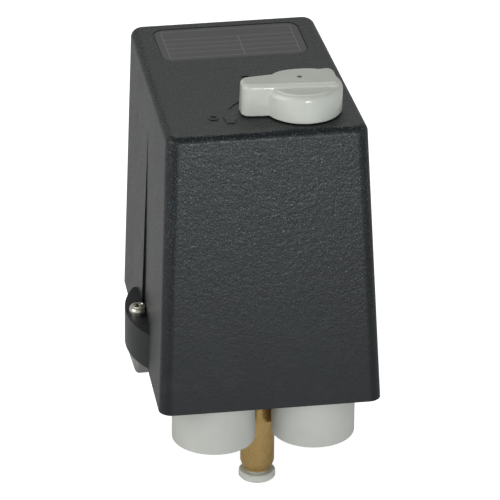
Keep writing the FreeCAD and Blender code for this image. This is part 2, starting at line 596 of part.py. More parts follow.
def make_mechanism():
    """The steel frame with the rocker, both springs and their adjusting screws."""
    foot = box("frame_foot", (-21.5, 21.5), (-16.2, 24), ("base_top", "base_top + sheet_steel"))
    bridge = box("frame_bridge", ("-cheek_inner - sheet_steel", "cheek_inner + sheet_steel"), (-20, 20),
                 ("frame_top - 2.4", "frame_top"))
    cheeks = []
    for side, sign in SIDES:
        span = mirrored(sign, "cheek_inner", "cheek_inner + sheet_steel")
        cheeks.append(box("cheek_" + side, span, (-7.6, 20), ("base_top", "frame_top")))
    pivot_y, pivot_z, pivot_radius = -14, 70, 1.5
    cheeks.append(box("cheek_ear", ("cheek_inner", "cheek_inner + sheet_steel"), (pivot_y - 3.6, -7),
                      (pivot_z - 4, pivot_z + 4)))
    frame = fuse("frame_bent", foot, bridge, *cheeks)
    tools = [rod("frame_opening", "plunger_radius + 0.8", ("base_top - 1", "base_top + sheet_steel + 1")),
             rod("main_hole", 3.05, ("frame_top - 4", "frame_top + 1")),
             rod("second_hole", 2.05, ("frame_top - 4", "frame_top + 1"), 0, "second_y"),
             rod("frame_pin_hole", "pin_radius", (-20, 20), "pivot_y", "pivot_z", along="x"),
             rod("off_pin_hole", pivot_radius, ("cheek_inner - 1", "cheek_inner + 3"),
                 pivot_y, pivot_z, along="x")]
    for side, sign in SIDES:
        for row in ("-", ""):
            tools.append(rod(f"foot_hole_{side}{len(row)}", "screw_radius + 0.2",
                             ("base_top - 1", "base_top + 3"),
                             f"{sign}flange_screw_x", f"{row}flange_screw_y"))
    node(cut("frame_piece", frame, *tools), "frame")
    pin_span = ("-cheek_inner - 3", "cheek_inner + 3")
    node(rod("rocker_pin_rod", "pin_radius", pin_span, "pivot_y", "pivot_z", along="x"), "rocker_pin")

    plate = box("rocker_plate", (-9.4, 9.4), (-22, "pivot_y"), ("rocker_bottom", "rocker_top"))
    nose = box("rocker_nose", (-5.5, 5.5), ("-rocker_tip", -21), ("rocker_bottom", "rocker_top"))
    eye = rod("rocker_eye", 4.2, (-9.4, 9.4), "pivot_y", "pivot_z", along="x")
    bore = rod("rocker_bore", "pin_radius + running_gap", (-12, 12), "pivot_y", "pivot_z", along="x")
    node(cut("rocker_piece", fuse("rocker_solid", plate, nose, eye), bore), "rocker")
    node(turned("main_seat", [
        (0, "rocker_top"), (9, "rocker_top"), (9, "rocker_top + 1.6"), (5.4, "rocker_top + 1.6"),
        (4.6, "rocker_top + 4"), (0, "rocker_top + 4")]), "main_spring_seat")

    def adjuster(prefix, y, thread, nut_level, nut_half, head_half, foot_level):
        """An adjusting screw with its travelling nut."""
        stem = rod(prefix + "_stem", thread, (foot_level, "frame_top"), 0, y)
        head = hexagon(prefix + "_head", head_half, ("frame_top", "frame_top + 4"), 0, y)
        slot = box(prefix + "_slot", (-12, 12), (f"({y}) - 0.6", f"({y}) + 0.6"),
                   ("frame_top + 2.6", "frame_top + 5"))
        blank = fuse(prefix + "_screw_solid", stem, head)
        node(cut(prefix + "_screw_piece", blank, slot), prefix + "_adjusting_screw")
        block = box(prefix + "_nut_block", (-10.6, 10.6), (f"({y}) - {nut_half}", f"({y}) + {nut_half}"),
                    (nut_level, f"{nut_level} + 3.4"))
        bore = rod(prefix + "_nut_thread", f"{thread} + running_gap",
                   (f"{nut_level} - 1", f"{nut_level} + 5"), 0, y)
        node(cut(prefix + "_nut_piece", block, bore), prefix + "_spring_nut")

    adjuster("main", 0, 3, "main_nut", 8.6, 5, "rocker_top + 18")
    adjuster("differential", "second_y", 2, "second_nut", 3.4, 3.5, "rocker_top + 15")
    node(coil("main_coil_body", "main_coil", "main_wire", ("rocker_top + 1.6", "main_nut"), 6.5), "main_spring")
    node(coil("second_coil_body", "second_coil", "second_wire", ("rocker_top", "second_nut"), 9.5, 0, "second_y"),
         "differential_spring")

    inner, outer = "knob_x + 3.5", "knob_x + 5.5"
    plate = box("off_plate", (inner, outer), (pivot_y - 2.2, pivot_y + 2.2), (56, 90))
    toe = box("off_toe", (inner, outer), (-30, -12), (57.4, 61))
    fork = box("off_fork", ("knob_x + 1.5", "knob_x + 8"), (-26, -12), (90, 92))
    slot = box("off_fork_slot", ("knob_x + 1", "knob_x + 7"),
               ("knob_y - peg_radius - 0.4", "knob_y + peg_radius + 0.4"), (88, 93))
    hole = rod("off_pivot_hole", f"{pivot_radius} + running_gap", (10, 30), pivot_y, pivot_z, along="x")
    node(cut("off_lever_piece", fuse("off_lever_solid", plate, toe, fork), slot, hole), "off_lever")
    node(rod("off_lever_pin_rod", pivot_radius, ("cheek_inner", "knob_x + 7"), pivot_y, pivot_z, along="x"),
         "off_lever_pin")


# ------------------------------------------------------------ switch block

def make_pole(pole):
    """One pole: two fixed contacts, their screws and clamps, and the moving bridge with its spring."""
    x, tag = f"{pole} * pole_pitch", "abc"[pole + 1]
    parts = {"rooms": [], "strips": [], "clamps": [], "screws": []}
    ends = (("front", "-block_front + 0.6", "-block_front + 8.4", "-block_front + 2.5", "-block_front + 6.8"),
            ("rear", "-block_rear - 6.6", "-block_rear - 0.4", "-block_rear - 1.7", "-block_rear - 5"))
    for end, low, high, spot, contact in ends:
        strip = (f"{x} - 2.6", f"{x} + 2.6"), (low, high), ("shelf", "shelf + 1.1")
        dot = rod(f"dot_{tag}_{end}", 1.5, ("shelf + 1.1", "shelf + 1.9"), x, contact)
        parts["strips"].append(fuse(f"fixed_{tag}_{end}", box(f"strip_{tag}_{end}", *strip), dot))
        parts["rooms"].append(box(f"strip_room_{tag}_{end}", *strip))
        parts["rooms"].append(rod(f"terminal_hole_{tag}_{end}", 1.2, ("shelf", "block_top + 1"), x, spot))
        blank = box(f"clamp_blank_{tag}_{end}", (f"{x} - 2.9", f"{x} + 2.9"),
                    (f"{spot} - 1.6", f"{spot} + 1.6"), ("block_top", "block_top + 0.9"))
        hole = rod(f"clamp_hole_{tag}_{end}", 1.2, ("block_top - 1", "block_top + 2"), x, spot)
        parts["clamps"].append(cut(f"clamp_{tag}_{end}", blank, hole))
        parts["screws"].append(screw(f"terminal_{tag}_{end}", x, spot, "block_top + 0.9", "shelf + 1.2",
                                     radius=1.2, head=2.5, head_height=1.9, drive=0.6))
    bar = box("bridge_bar_" + tag, (f"{x} - 2", f"{x} + 2"), ("-block_front + 5.3", "-block_rear - 3.6"),
              ("bridge_z", "bridge_z + 1.1"))
    dots = [rod(f"bridge_dot_{tag}_{end}", 1.4, ("bridge_z - 0.5", "bridge_z + 0.2"), x, contact)
            for end, _, _, _, contact in ends]
    parts["bridge"] = fuse("bridge_" + tag, bar, *dots)
    parts["window"] = box("window_" + tag, (f"{x} - 2.1", f"{x} + 2.1"), ("carrier_y - 4", "carrier_y + 4"),
                          ("bridge_z", 52))
    parts["spring"] = coil("contact_spring_" + tag, 1.2, 0.25, ("bridge_z + 1.1", 52), 4, x, "carrier_y")
    return parts


def make_switch_block():
    """The three-pole contact block with its fixed and moving contacts."""
    poles = [make_pole(pole) for pole in (-1, 0, 1)]
    upper = box("block_upper", ("-block_half", "block_half"), ("-block_front", "-block_rear"),
                ("block_bottom", "block_top"))
    thick = ("carrier_y - carrier_half", "carrier_y + carrier_half")
    tools = [box("block_well", ("-block_half + 3.4", "block_half - 3.4"),
                 ("-block_front + 5", "-block_rear - 3.2"), ("shelf", "block_top + 1")),
             box("block_slot", ("-block_half + 3.6", "block_half - 3.6"),
                 (f"{thick[0]} - 0.4", f"{thick[1]} + 0.4"), ("block_bottom - 1", "shelf + 1"))]
    feet = []
    for side, sign in SIDES:
        feet.append(box("block_foot_" + side, mirrored(sign, "block_half - 3.6", "block_half"),
                        (-24, "-block_rear + 1.2"), ("base_top", "block_bottom")))
        tools.append(box("foot_relief_" + side, mirrored(sign, "block_half - 5", "block_half + 1"),
                         (-26, "-step_front"), ("base_top - 1", "base_top + 2")))
    for pole in poles:
        tools += pole["rooms"]
    node(cut("block_piece", fuse("block_solid", upper, *feet), *tools), "contact_block")
    plate = box("carrier_plate", (-20.4, 20.4), thick, ("rocker_top + 1.6", 54))
    tongue = box("carrier_tongue", (-9, 9), thick, (28.6, 40))
    mouth = box("carrier_mouth", (-6, 6), ("carrier_y - 4", "carrier_y + 4"),
                ("rocker_bottom - 0.4", "rocker_top + 0.4"))
    windows = [pole["window"] for pole in poles]
    node(cut("carrier_piece", fuse("carrier_solid", plate, tongue), mouth, *windows), "contact_carrier")
    node(group("bridge_set", *[pole["bridge"] for pole in poles]), "contact_bridges")
    node(group("contact_spring_set", *[pole["spring"] for pole in poles]), "contact_springs")
    kinds = (("fixed_contacts", "strips"), ("terminal_screws", "screws"), ("terminal_clamps", "clamps"))
    for label, kind in kinds:
        node(group(label + "_set", *[item for pole in poles for item in pole[kind]]), label)


def make_earth_terminal():
    """The earth screw and its clamp on the rear floor."""
    x, y, seat = 20, 33, "base_top + 1.2"
    clamp = box("earth_plate", (x - 5, x + 5), (y - 5, y + 5), ("base_top", seat))
    hole = rod("earth_hole", 1.7, ("base_top - 1", "base_top + 3"), x, y)
    node(cut("earth_clamp_piece", clamp, hole), "earth_clamp")
    node(screw("earth_screw_piece", x, y, seat, "base_top", radius=1.7, head=3.4, head_height=2.4),
         "earth_screw")


# ----------------------------------------------------------------- glands

def make_glands():
    """Two cable glands: body, sealing ring, clamping nut and locknut."""
    floor_top = "base_bottom + base_floor"
    seat_radius = 9.4
    bodies, seals, locknuts = [], [], []
    for side, sign in SIDES:
        place = (f"{sign}gland_x", "gland_y")
        flange_low, flange_edge = "gland_shoulder + 0.2", "gland_radius - 0.7"
        bodies.append(turned("gland_body_" + side, [
            ("cable_radius + 0.4", 4.2), (seat_radius, 4.2), (seat_radius, flange_low), (flange_edge, flange_low),
            (flange_edge, "base_bottom"), ("thread_radius", "base_bottom"), ("thread_radius", f"{floor_top} + 5"),
            ("cable_radius + 0.4", f"{floor_top} + 5")], *place))
        seals.append(turned("gland_seal_" + side, [
            ("cable_radius", 0), (seat_radius, 0), (seat_radius, 4.2), ("cable_radius", 4.2)], *place))
        nut = turned("clamp_nut_" + side, [
            ("cable_radius", "gland_mouth"), ("gland_radius - 1", "gland_mouth"),
            ("gland_radius - 0.28", "gland_mouth + 0.3"),
            ("gland_radius", "gland_mouth + 1"), ("gland_radius", "gland_shoulder"),
            (f"{seat_radius} + running_gap", "gland_shoulder"), (f"{seat_radius} + running_gap", -0.05),
            ("cable_radius", -0.05)], *place)
        node(nut, f"gland_nut_{side}")
        nut_span = (floor_top, f"{floor_top} + 3.4")
        blank = hexagon("locknut_blank_" + side, 11.4, nut_span, *place)
        bore = rod("locknut_bore_" + side, "thread_radius", nut_span, *place)
        locknuts.append(cut("locknut_" + side, blank, bore))
    for label, items in (("gland_bodies", bodies), ("gland_seals", seals), ("gland_locknuts", locknuts)):
        node(group(label + "_set", *items), label)


# --------------------------------------------------------- unloader valve

def make_valve():
    """The brass unloader valve with its push-in tube connection."""
    floor_top = "base_bottom + base_floor"
    chamber, orifice, stem, collet, seal_room = 3.6, 1.4, 1.5, 4.3, 4.9
    seal_low, seal_high, tube_stop = -15.6, -13.2, -9
    node(turned("valve_body_turned", [
        (seal_room, "valve_collar"), ("collar_radius", "valve_collar"), ("collar_radius", "valve_shoulder + 0.4"),
        ("collar_radius - 0.2", "valve_shoulder"), ("valve_radius - 0.25", "valve_chamfer - 0.4"),
        ("valve_radius", "valve_chamfer"), ("valve_radius", "base_bottom"), (3.5, "base_bottom"),
        (3.5, f"{floor_top} + 4"), (f"{stem} + running_gap", f"{floor_top} + 4"), (f"{stem} + running_gap", 12),
        (chamber, 12), (chamber, "valve_floor"), (orifice, "valve_floor"), (orifice, tube_stop),
        ("tube_radius + 0.15", tube_stop), ("tube_radius + 0.15", seal_high), (seal_room, seal_high),
        (seal_room, seal_low), (collet, seal_low), (collet, "valve_collar + 1"), (seal_room, "valve_collar + 1")],
        0, "valve_y"), "valve_body")
    nut_span = (floor_top, f"{floor_top} + 2.8")
    node(cut("valve_nut_piece", hexagon("valve_nut_blank", 4.5, nut_span, 0, "valve_y"),
             rod("valve_nut_bore", 3.5, nut_span, 0, "valve_y")), "valve_locknut")
    node(turned("valve_pin_turned", [
        (0, "pad_bottom + 2.6"), (2.6, "pad_bottom + 2.6"), (2.6, 4.4), (3.3, 4.4), (3.3, 6), (stem, 6),
        (stem, "rocker_bottom - 0.2"), (0.3, "rocker_bottom"), (0, "rocker_bottom")],
        0, "valve_y"), "valve_plunger")
    node(turned("valve_pad_turned", [
        (0, "pad_bottom"), (1.9, "pad_bottom"), (2.6, "pad_bottom + 1.4"), (2.6, "pad_bottom + 2.6"),
        (0, "pad_bottom + 2.6")], 0, "valve_y"), "valve_seal")
    node(coil("valve_coil", 3.05, 0.24, ("valve_floor", 4.4), 6, 0, "valve_y"), "valve_spring")
    node(turned("release_ring_turned", [
        ("tube_radius", "ring_bottom"), ("ring_radius - 0.5", "ring_bottom"), ("ring_radius", "ring_bottom + 0.5"),
        ("ring_radius", "ring_top - 0.4"), ("ring_radius - 0.4", "ring_top"), (collet - 0.1, "ring_top"),
        (collet - 0.1, -17.6), ("tube_radius + 0.5", -16.8), ("tube_radius", -16.8)],
        0, "valve_y"), "release_ring")
    node(turned("tube_seal_turned", [
        ("tube_radius", seal_low), (seal_room, seal_low), (seal_room, seal_high), ("tube_radius", seal_high)],
        0, "valve_y"), "tube_seal")


def make_rating_plate():
    """The blank film in the recess on top."""
    seat, margin = "cover_bottom + cover_height - plate_depth", 0.3
    film = box("rating_film", (f"-plate_half + {margin}", f"plate_half - {margin}"),
               (f"plate_front + {margin}", f"plate_back - {margin}"), (seat, f"{seat} + 0.25"))
    node(rounded("rating_film_corners", film, 4.2, standing), "rating_plate")


make_cover()
make_knob()
make_pressure_side()
make_base()
make_mechanism()
make_switch_block()
make_earth_terminal()
make_glands()
make_valve()
make_rating_plate()
doc.recompute()

for item in doc.Objects:
    if {"Invalid", "Error"} & set(item.State):
        raise RuntimeError(f"{item.Name} did not recompute: {item.getStatusString()}")
for item in nodes:
    if item.Shape.isNull() or not item.Shape.isValid() or not item.Shape.Solids:
        raise RuntimeError(f"{item.Label} has no valid solid")

os.makedirs("parts", exist_ok=True)
for item in nodes:
    item.Shape.exportStep(f"parts/{item.Label}.step")
    print(f"{item.Label:24s} {len(item.Shape.Solids):2d} solids {item.Shape.Volume:10.1f} mm3")
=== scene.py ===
import json
import math

import bmesh
import bpy
from mathutils import Matrix, Vector


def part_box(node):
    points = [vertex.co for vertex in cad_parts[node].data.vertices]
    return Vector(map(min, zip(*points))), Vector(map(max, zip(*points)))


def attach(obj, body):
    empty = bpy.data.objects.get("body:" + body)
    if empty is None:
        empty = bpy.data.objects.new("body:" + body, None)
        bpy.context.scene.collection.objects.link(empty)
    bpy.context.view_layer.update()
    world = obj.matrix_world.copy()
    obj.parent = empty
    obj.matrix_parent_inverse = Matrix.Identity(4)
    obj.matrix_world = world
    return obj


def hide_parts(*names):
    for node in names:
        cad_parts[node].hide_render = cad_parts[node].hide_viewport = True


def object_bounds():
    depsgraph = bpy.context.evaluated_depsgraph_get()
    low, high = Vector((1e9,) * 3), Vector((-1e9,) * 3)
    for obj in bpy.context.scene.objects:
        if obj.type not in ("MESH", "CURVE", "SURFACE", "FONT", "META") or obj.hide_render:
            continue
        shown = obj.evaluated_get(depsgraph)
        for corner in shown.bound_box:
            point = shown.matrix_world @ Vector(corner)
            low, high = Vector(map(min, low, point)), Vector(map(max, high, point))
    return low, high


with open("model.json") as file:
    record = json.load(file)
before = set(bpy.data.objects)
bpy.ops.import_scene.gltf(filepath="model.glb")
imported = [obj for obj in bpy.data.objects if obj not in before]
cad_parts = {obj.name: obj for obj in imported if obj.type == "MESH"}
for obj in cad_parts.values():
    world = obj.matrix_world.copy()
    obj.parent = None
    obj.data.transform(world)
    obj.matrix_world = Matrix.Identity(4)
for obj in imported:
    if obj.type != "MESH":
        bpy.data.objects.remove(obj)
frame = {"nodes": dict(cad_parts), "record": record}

bl_info = {
    "name": "Compressor pressure switch",
    "version": (1, 0, 0),
    "blender": (4, 5, 0),
    "location": "3D View > Sidebar > Pressure switch",
    "description": "Builds the finished surfaces of a compressor pressure switch round its CAD frame",
    "category": "Object",
}

CAD_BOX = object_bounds()
MM = 0.001
NODES = frame["nodes"]
SLOT_OF = {part["node"]: part["material_slot"] for part in frame["record"]["subparts"]}
FINISHES = {}


# ------------------------------------------------------------- shader maths

class Term:
    """One output of a shader node; arithmetic on it adds Math nodes."""

    def __init__(self, finish, socket):
        self.finish = finish
        self.socket = socket

    def math(self, operation, *values):
        return self.finish.node("ShaderNodeMath", {"operation": operation}, dict(enumerate(values)))

    def __add__(self, other):
        return self.math("ADD", self, other)

    def __radd__(self, other):
        return self.math("ADD", other, self)

    def __sub__(self, other):
        return self.math("SUBTRACT", self, other)

    def __rsub__(self, other):
        return self.math("SUBTRACT", other, self)

    def __mul__(self, other):
        return self.math("MULTIPLY", self, other)

    def __rmul__(self, other):
        return self.math("MULTIPLY", other, self)

    def __pow__(self, other):
        return self.math("POWER", self, other)

    def fade(self, low, high):
        """0 at the low value and 1 at the high one, smoothly between."""
        sockets = {"Value": self, "From Min": low, "From Max": high}
        return self.finish.node("ShaderNodeMapRange", {"interpolation_type": "SMOOTHSTEP"}, sockets)


class Finish:
    """One material under construction; every node comes from add()."""

    def __init__(self, name):
        self.material = bpy.data.materials.new(name)
        self.material.use_nodes = True
        self.tree = self.material.node_tree
        self.tree.nodes.clear()
        self.place = self.node("ShaderNodeTexCoord", output="Object")

    def add(self, kind, settings, inputs):
        """Adds a node: its settings first, then the values or links of its sockets."""
        node = self.tree.nodes.new(kind)
        for name, value in settings.items():
            setattr(node, name, value)
        for name, value in inputs.items():
            if isinstance(value, Term):
                self.tree.links.new(value.socket, node.inputs[name])
            else:
                node.inputs[name].default_value = value
        return node

    def node(self, kind, settings=None, inputs=None, output=0):
        """Adds a node and takes one of its outputs."""
        return Term(self, self.add(kind, settings or {}, inputs or {}).outputs[output])

    def stretched(self, scale, turn=(0, 0, 0)):
        """The object's coordinates, scaled and turned."""
        values = {"Vector": self.place, "Scale": scale, "Rotation": turn}
        return self.node("ShaderNodeMapping", {}, values)

    def noise(self, scale, detail, roughness, place=None):
        """Soft noise; the scale is its lumps to the metre."""
        values = {"Vector": place or self.place, "Scale": scale, "Detail": detail, "Roughness": roughness}
        return self.node("ShaderNodeTexNoise", {}, values)

    def cells(self, scale):
        """Distance to the nearest grain's middle."""
        return self.node("ShaderNodeTexVoronoi", {}, {"Vector": self.place, "Scale": scale})

    def axes(self):
        """The object's x, y and z, in metres."""
        split = self.add("ShaderNodeSeparateXYZ", {}, {0: self.place})
        return [Term(self, output) for output in split.outputs]

    def blend(self, share, first, second):
        """A colour between two colours."""
        sockets = {0: share, 6: first, 7: second}
        return self.node("ShaderNodeMix", {"data_type": "RGBA"}, sockets, output=2)

    def mottle(self, pattern, low, high, colour, darker, lighter):
        """A colour that drifts from a darker to a lighter shade as a pattern goes from low to high."""
        return self.blend(pattern.fade(low, high), tint(colour, darker), tint(colour, lighter))

    def band(self, value, middle, half):
        """1 where a value is within a half width of the middle, else 0."""
        return self.node("ShaderNodeMath", {"operation": "COMPARE"}, {0: value, 1: middle, 2: half})

    def bump(self, height, distance):
        return self.node("ShaderNodeBump", {}, {"Height": height, "Distance": distance, "Strength": 1.0})

    def close(self, **sockets):
        """Adds the surface shader and the output; underscores stand for spaces."""
        inputs = {name.replace("_", " "): value for name, value in sockets.items()}
        surface = self.node("ShaderNodeBsdfPrincipled", {}, inputs)
        self.add("ShaderNodeOutputMaterial", {}, {"Surface": surface})
        return self.material


def tint(colour, factor):
    """A colour made lighter or darker, as four numbers."""
    return (*[min(1.0, max(0.0, channel * factor)) for channel in colour[:3]], 1.0)


# ---------------------------------------------------------------- materials

DUST_COLOUR = (0.16, 0.155, 0.145, 1.0)
BLOOM_COLOUR = (0.09, 0.09, 0.088, 1.0)
PASSIVATION = (1.05, 1.0, 0.88)
TARNISH = (0.72, 0.62, 0.5)

# The cover's painted glints (light flecks painted into its colour as highlights on the grain) and its grain
# grow to their full strength between these heights; the glints are painted stronger higher up, where the light
# falls.
PAINTED_GLINT_HEIGHTS = (20.0 * MM, 100.0 * MM)
GRAIN_HEIGHTS = (15.0 * MM, 80.0 * MM)

# The print on the film, in millimetres: its middle, half its size, its lines and where its rules lie.
PRINT_MIDDLE = (0.0, 37.5)
PRINT_HALF = (23.4, 11.2)
FRAME_LINE = 0.25
RULE_HALF = 0.13
RULES_Y = (30.6, 34.4, 38.2, 42.0)
DIVIDER_X = 3.5
DIVIDER_MIDDLE, DIVIDER_HALF = 34.3, 7.7

# The mark of the mould's gate on the knob, in millimetres.
GATE = (14.0, -21.0)
GATE_INNER, GATE_OUTER = 0.7, 1.05


def textured_plastic(name, colour, painted_glint, grain, depth, roughness, gloss=0.5):
    """Dark moulded plastic with a spark-eroded grain and painted glints: light flecks in its colour that stand
    for highlights on the grain, painted stronger higher up.
    """
    f = Finish(name)
    _, _, level = f.axes()
    fine = f.noise(1.0 / grain, 3.0, 0.7)
    coarse = f.noise(0.45 / grain, 1.5, 0.5)
    pits = f.cells(0.9 / grain)
    cloud = f.noise(28.0, 3.0, 0.6)
    dust = f.noise(95.0, 4.0, 0.7).fade(0.52, 0.8)
    # Painted glints: light flecks painted into the colour as highlights on the grain, stronger towards the top,
    # and a little less rough.
    painted_glints = f.noise(1.5 / grain, 1.0, 0.5).fade(0.58, 0.68)
    painted_glint_share = level.fade(*PAINTED_GLINT_HEIGHTS) * 0.75 + 0.12
    grain_share = level.fade(*GRAIN_HEIGHTS) * 0.7 + 0.3
    base = f.mottle(cloud, 0.3, 0.7, colour, 0.88, 1.1)
    base = f.blend(painted_glints * painted_glint_share, base, tint(painted_glint, 1.0))
    base = f.blend(dust * 0.05, base, DUST_COLOUR)
    rough = cloud * 0.06 + (roughness - 0.06) + dust * 0.08 - painted_glints * 0.1
    relief = (fine * 0.6 + coarse * 0.8 - pits * 0.35) * grain_share
    return f.close(Base_Color=base, Roughness=rough, Normal=f.bump(relief, depth),
                   Specular_IOR_Level=gloss)


def glossy_plastic(name, colour, roughness, coat, scuffs, gate=None):
    """Light moulded plastic: near smooth, slightly wavy and faintly scuffed, with a gate mark if it has one."""
    f = Finish(name)
    cloud = f.noise(60.0, 3.0, 0.55)
    wave = f.noise(160.0, 1.0, 0.4)
    tooth = f.noise(2600.0, 2.0, 0.5)
    specks = f.noise(1400.0, 2.0, 0.6).fade(0.7, 0.78)
    scratch = f.noise(90.0, 2.0, 0.6, f.stretched((1.0, 9.0, 5.0), (0.3, 0.5, 0.7))).fade(0.6, 0.72)
    base = f.mottle(cloud, 0.3, 0.7, colour, 0.95, 1.03)
    base = f.blend(specks * 0.3, base, tint(colour, 0.55))
    if gate:
        x, y, _ = f.axes()
        away = ((x - gate[0] * MM) ** 2.0 + (y - gate[1] * MM) ** 2.0) ** 0.5
        mark = 1.0 - away.fade(GATE_INNER * MM, GATE_OUTER * MM)
        base = f.blend(mark, base, tint(colour, 0.1))
    rough = cloud * 0.08 + (roughness - 0.04) + scratch * (0.12 * scuffs)
    relief = wave + tooth * 0.05 - scratch * (0.05 * scuffs)
    return f.close(Base_Color=base, Roughness=rough, Normal=f.bump(relief, 0.06 * MM),
                   Coat_Weight=coat, Coat_Roughness=0.08)


def film(name, colour, ink):
    """Printed film: a satin dark sheet with a hairline frame and a few empty rules."""
    f = Finish(name)
    cloud = f.noise(45.0, 3.0, 0.6)
    tooth = f.noise(2200.0, 2.0, 0.5)
    wear = f.noise(700.0, 3.0, 0.6).fade(0.35, 0.7)
    x, y, _ = f.axes()

    def rectangle(inset):
        wide, deep = ((half - inset) * MM for half in PRINT_HALF)
        return f.band(x, PRINT_MIDDLE[0] * MM, wide) * f.band(y, PRINT_MIDDLE[1] * MM, deep)

    outer, inner = rectangle(0.0), rectangle(FRAME_LINE)
    rules = f.band(x, DIVIDER_X * MM, RULE_HALF * MM) * f.band(y, DIVIDER_MIDDLE * MM, DIVIDER_HALF * MM)
    for rule in RULES_Y:
        rules = rules + f.band(y, rule * MM, RULE_HALF * MM)
    printed = outer - inner + (inner * rules).fade(0.0, 1.0)
    base = f.mottle(cloud, 0.25, 0.75, colour, 0.9, 1.12)
    base = f.blend(printed * (wear * 0.25 + 0.35), base, tint(ink, 1.0))
    rough = cloud * 0.1 + 0.3 + tooth * 0.08
    return f.close(Base_Color=base, Roughness=rough, Normal=f.bump(tooth, 0.01 * MM))


def cast_metal(name, colour):
    """Die-cast zinc: dull, faintly pitted, darker in patches."""
    f = Finish(name)
    skin = f.noise(900.0, 4.0, 0.65)
    patch = f.noise(70.0, 4.0, 0.6)
    flow = f.noise(40.0, 2.0, 0.5, f.stretched((1.0, 5.0, 2.0)))
    base = f.mottle(patch, 0.3, 0.72, colour, 0.72, 1.12)
    base = f.blend(flow.fade(0.55, 0.8) * 0.3, base, tint(colour, 0.55))
    rough = patch * 0.2 + skin * 0.12 + 0.3
    return f.close(Base_Color=base, Metallic=patch * 0.2 + 0.75, Roughness=rough,
                   Normal=f.bump(skin + flow, 0.05 * MM))


def plated_steel(name, colour, along=(1, 1, 1)):
    """Zinc-plated steel: fine lines along one direction and a cloudy passivation tint."""
    f = Finish(name)
    lines = f.noise(1100.0, 3.0, 0.6, f.stretched(along))
    cloud = f.noise(120.0, 3.0, 0.55)
    straw = tint([channel * share for channel, share in zip(colour, PASSIVATION)], 1.0)
    base = f.blend(cloud.fade(0.35, 0.7), tint(colour, 0.85), straw)
    rough = lines * 0.14 + cloud * 0.12 + 0.14
    return f.close(Base_Color=base, Metallic=1.0 - cloud.fade(0.7, 0.9) * 0.12, Roughness=rough,
                   Normal=f.bump(lines, 0.01 * MM))


def turned_brass(name, colour):
    """Turned brass: tool lines round the axis, brown tarnish in patches."""
    f = Finish(name)
    lines = f.noise(150.0, 2.0, 0.5, f.stretched((0.4, 0.4, 34.0)))
    patch = f.noise(210.0, 4.0, 0.65)
    drops = f.noise(620.0, 2.0, 0.5).fade(0.62, 0.74)
    brown = tint([channel * share for channel, share in zip(colour, TARNISH)], 1.0)
    base = f.blend(patch.fade(0.4, 0.8) * 0.45, tint(colour, 1.05), brown)
    base = f.blend(drops * 0.25, base, tint(colour, 0.45))
    rough = patch * 0.22 + lines * 0.12 + 0.1
    return f.close(Base_Color=base, Metallic=1.0 - drops * 0.15, Roughness=rough,
                   Normal=f.bump(lines, 0.02 * MM))


def moulded_rubber(name, colour):
    """Black rubber: matt, with a grey bloom."""
    f = Finish(name)
    bloom = f.noise(220.0, 4.0, 0.6)
    skin = f.noise(1500.0, 2.0, 0.5)
    base = f.blend(bloom.fade(0.4, 0.8) * 0.5, tint(colour, 1.0), BLOOM_COLOUR)
    return f.close(Base_Color=base, Roughness=bloom * 0.2 + 0.55, Normal=f.bump(skin, 0.02 * MM))


def make_finishes(look):
    """Every finish of the switch, by material slot."""
    return {
        "cover_plastic": textured_plastic(
            "cover_plastic", look.cover_colour, look.painted_glint_colour, grain=look.grain * MM,
            depth=look.grain_depth * MM, roughness=0.43, gloss=0.38),
        "plate_film": film("plate_film", look.film_colour, look.ink_colour),
        "grey_plastic": glossy_plastic(
            "grey_plastic", look.knob_colour, roughness=0.2, coat=0.35, scuffs=0.5, gate=GATE),
        "gland_plastic": glossy_plastic(
            "gland_plastic", look.gland_colour, roughness=0.42, coat=0.0, scuffs=1.0),
        # The second colour of each textured plastic is its painted glints: light flecks painted in as
        # highlights on the grain.
        "black_plastic": textured_plastic(
            "black_plastic", (0.03, 0.03, 0.031), (0.06, 0.06, 0.062), grain=0.9 * MM,
            depth=0.04 * MM, roughness=0.55),
        "thermoset": textured_plastic(
            "thermoset", (0.11, 0.085, 0.06), (0.2, 0.16, 0.12), grain=0.6 * MM,
            depth=0.02 * MM, roughness=0.42),
        "zinc_casting": cast_metal("zinc_casting", look.casting_colour),
        "zinc_steel": plated_steel("zinc_steel", (0.62, 0.62, 0.6), along=(1, 6, 1)),
        "spring_steel": plated_steel("spring_steel", (0.4, 0.4, 0.41)),
        "brass": turned_brass("brass", look.brass_colour),
        "rubber": moulded_rubber("rubber", (0.025, 0.025, 0.026)),
    }


# ------------------------------------------------------------- mesh helpers

MERGE_GAP = 2e-6
FLAT_FACE_WEIGHT = 80


def new_object(name, mesh):
    piece = bpy.data.objects.new(name, mesh)
    bpy.context.scene.collection.objects.link(piece)
    return piece


def object_from(edit, name):
    """Turns an edited mesh into an object, and ends the edit."""
    mesh = bpy.data.meshes.new(name)
    edit.to_mesh(mesh)
    edit.free()
    return new_object(name, mesh)


def bake_modifiers(piece):
    """Turns a piece and its modifiers into a plain mesh."""
    bpy.context.view_layer.update()
    graph = bpy.context.evaluated_depsgraph_get()
    shaped = piece.evaluated_get(graph)
    mesh = bpy.data.meshes.new_from_object(shaped, preserve_all_data_layers=True, depsgraph=graph)
    piece.modifiers.clear()
    piece.data = mesh
    return piece


def smooth(piece, angle, weighted=True):
    """Smooth shading that keeps edges sharper than an angle, with flat faces kept flat."""
    mesh = piece.data
    mesh.polygons.foreach_set("use_smooth", [True] * len(mesh.polygons))
    edit = bmesh.new()
    edit.from_mesh(mesh)
    limit = math.radians(angle)
    for edge in edit.edges:
        edge.smooth = len(edge.link_faces) == 2 and edge.calc_face_angle(0.0) < limit
    edit.to_mesh(mesh)
    edit.free()
    if weighted:
        weights = piece.modifiers.new("weights", "WEIGHTED_NORMAL")
        weights.keep_sharp = True
        weights.weight = FLAT_FACE_WEIGHT
        bake_modifiers(piece)
    return piece


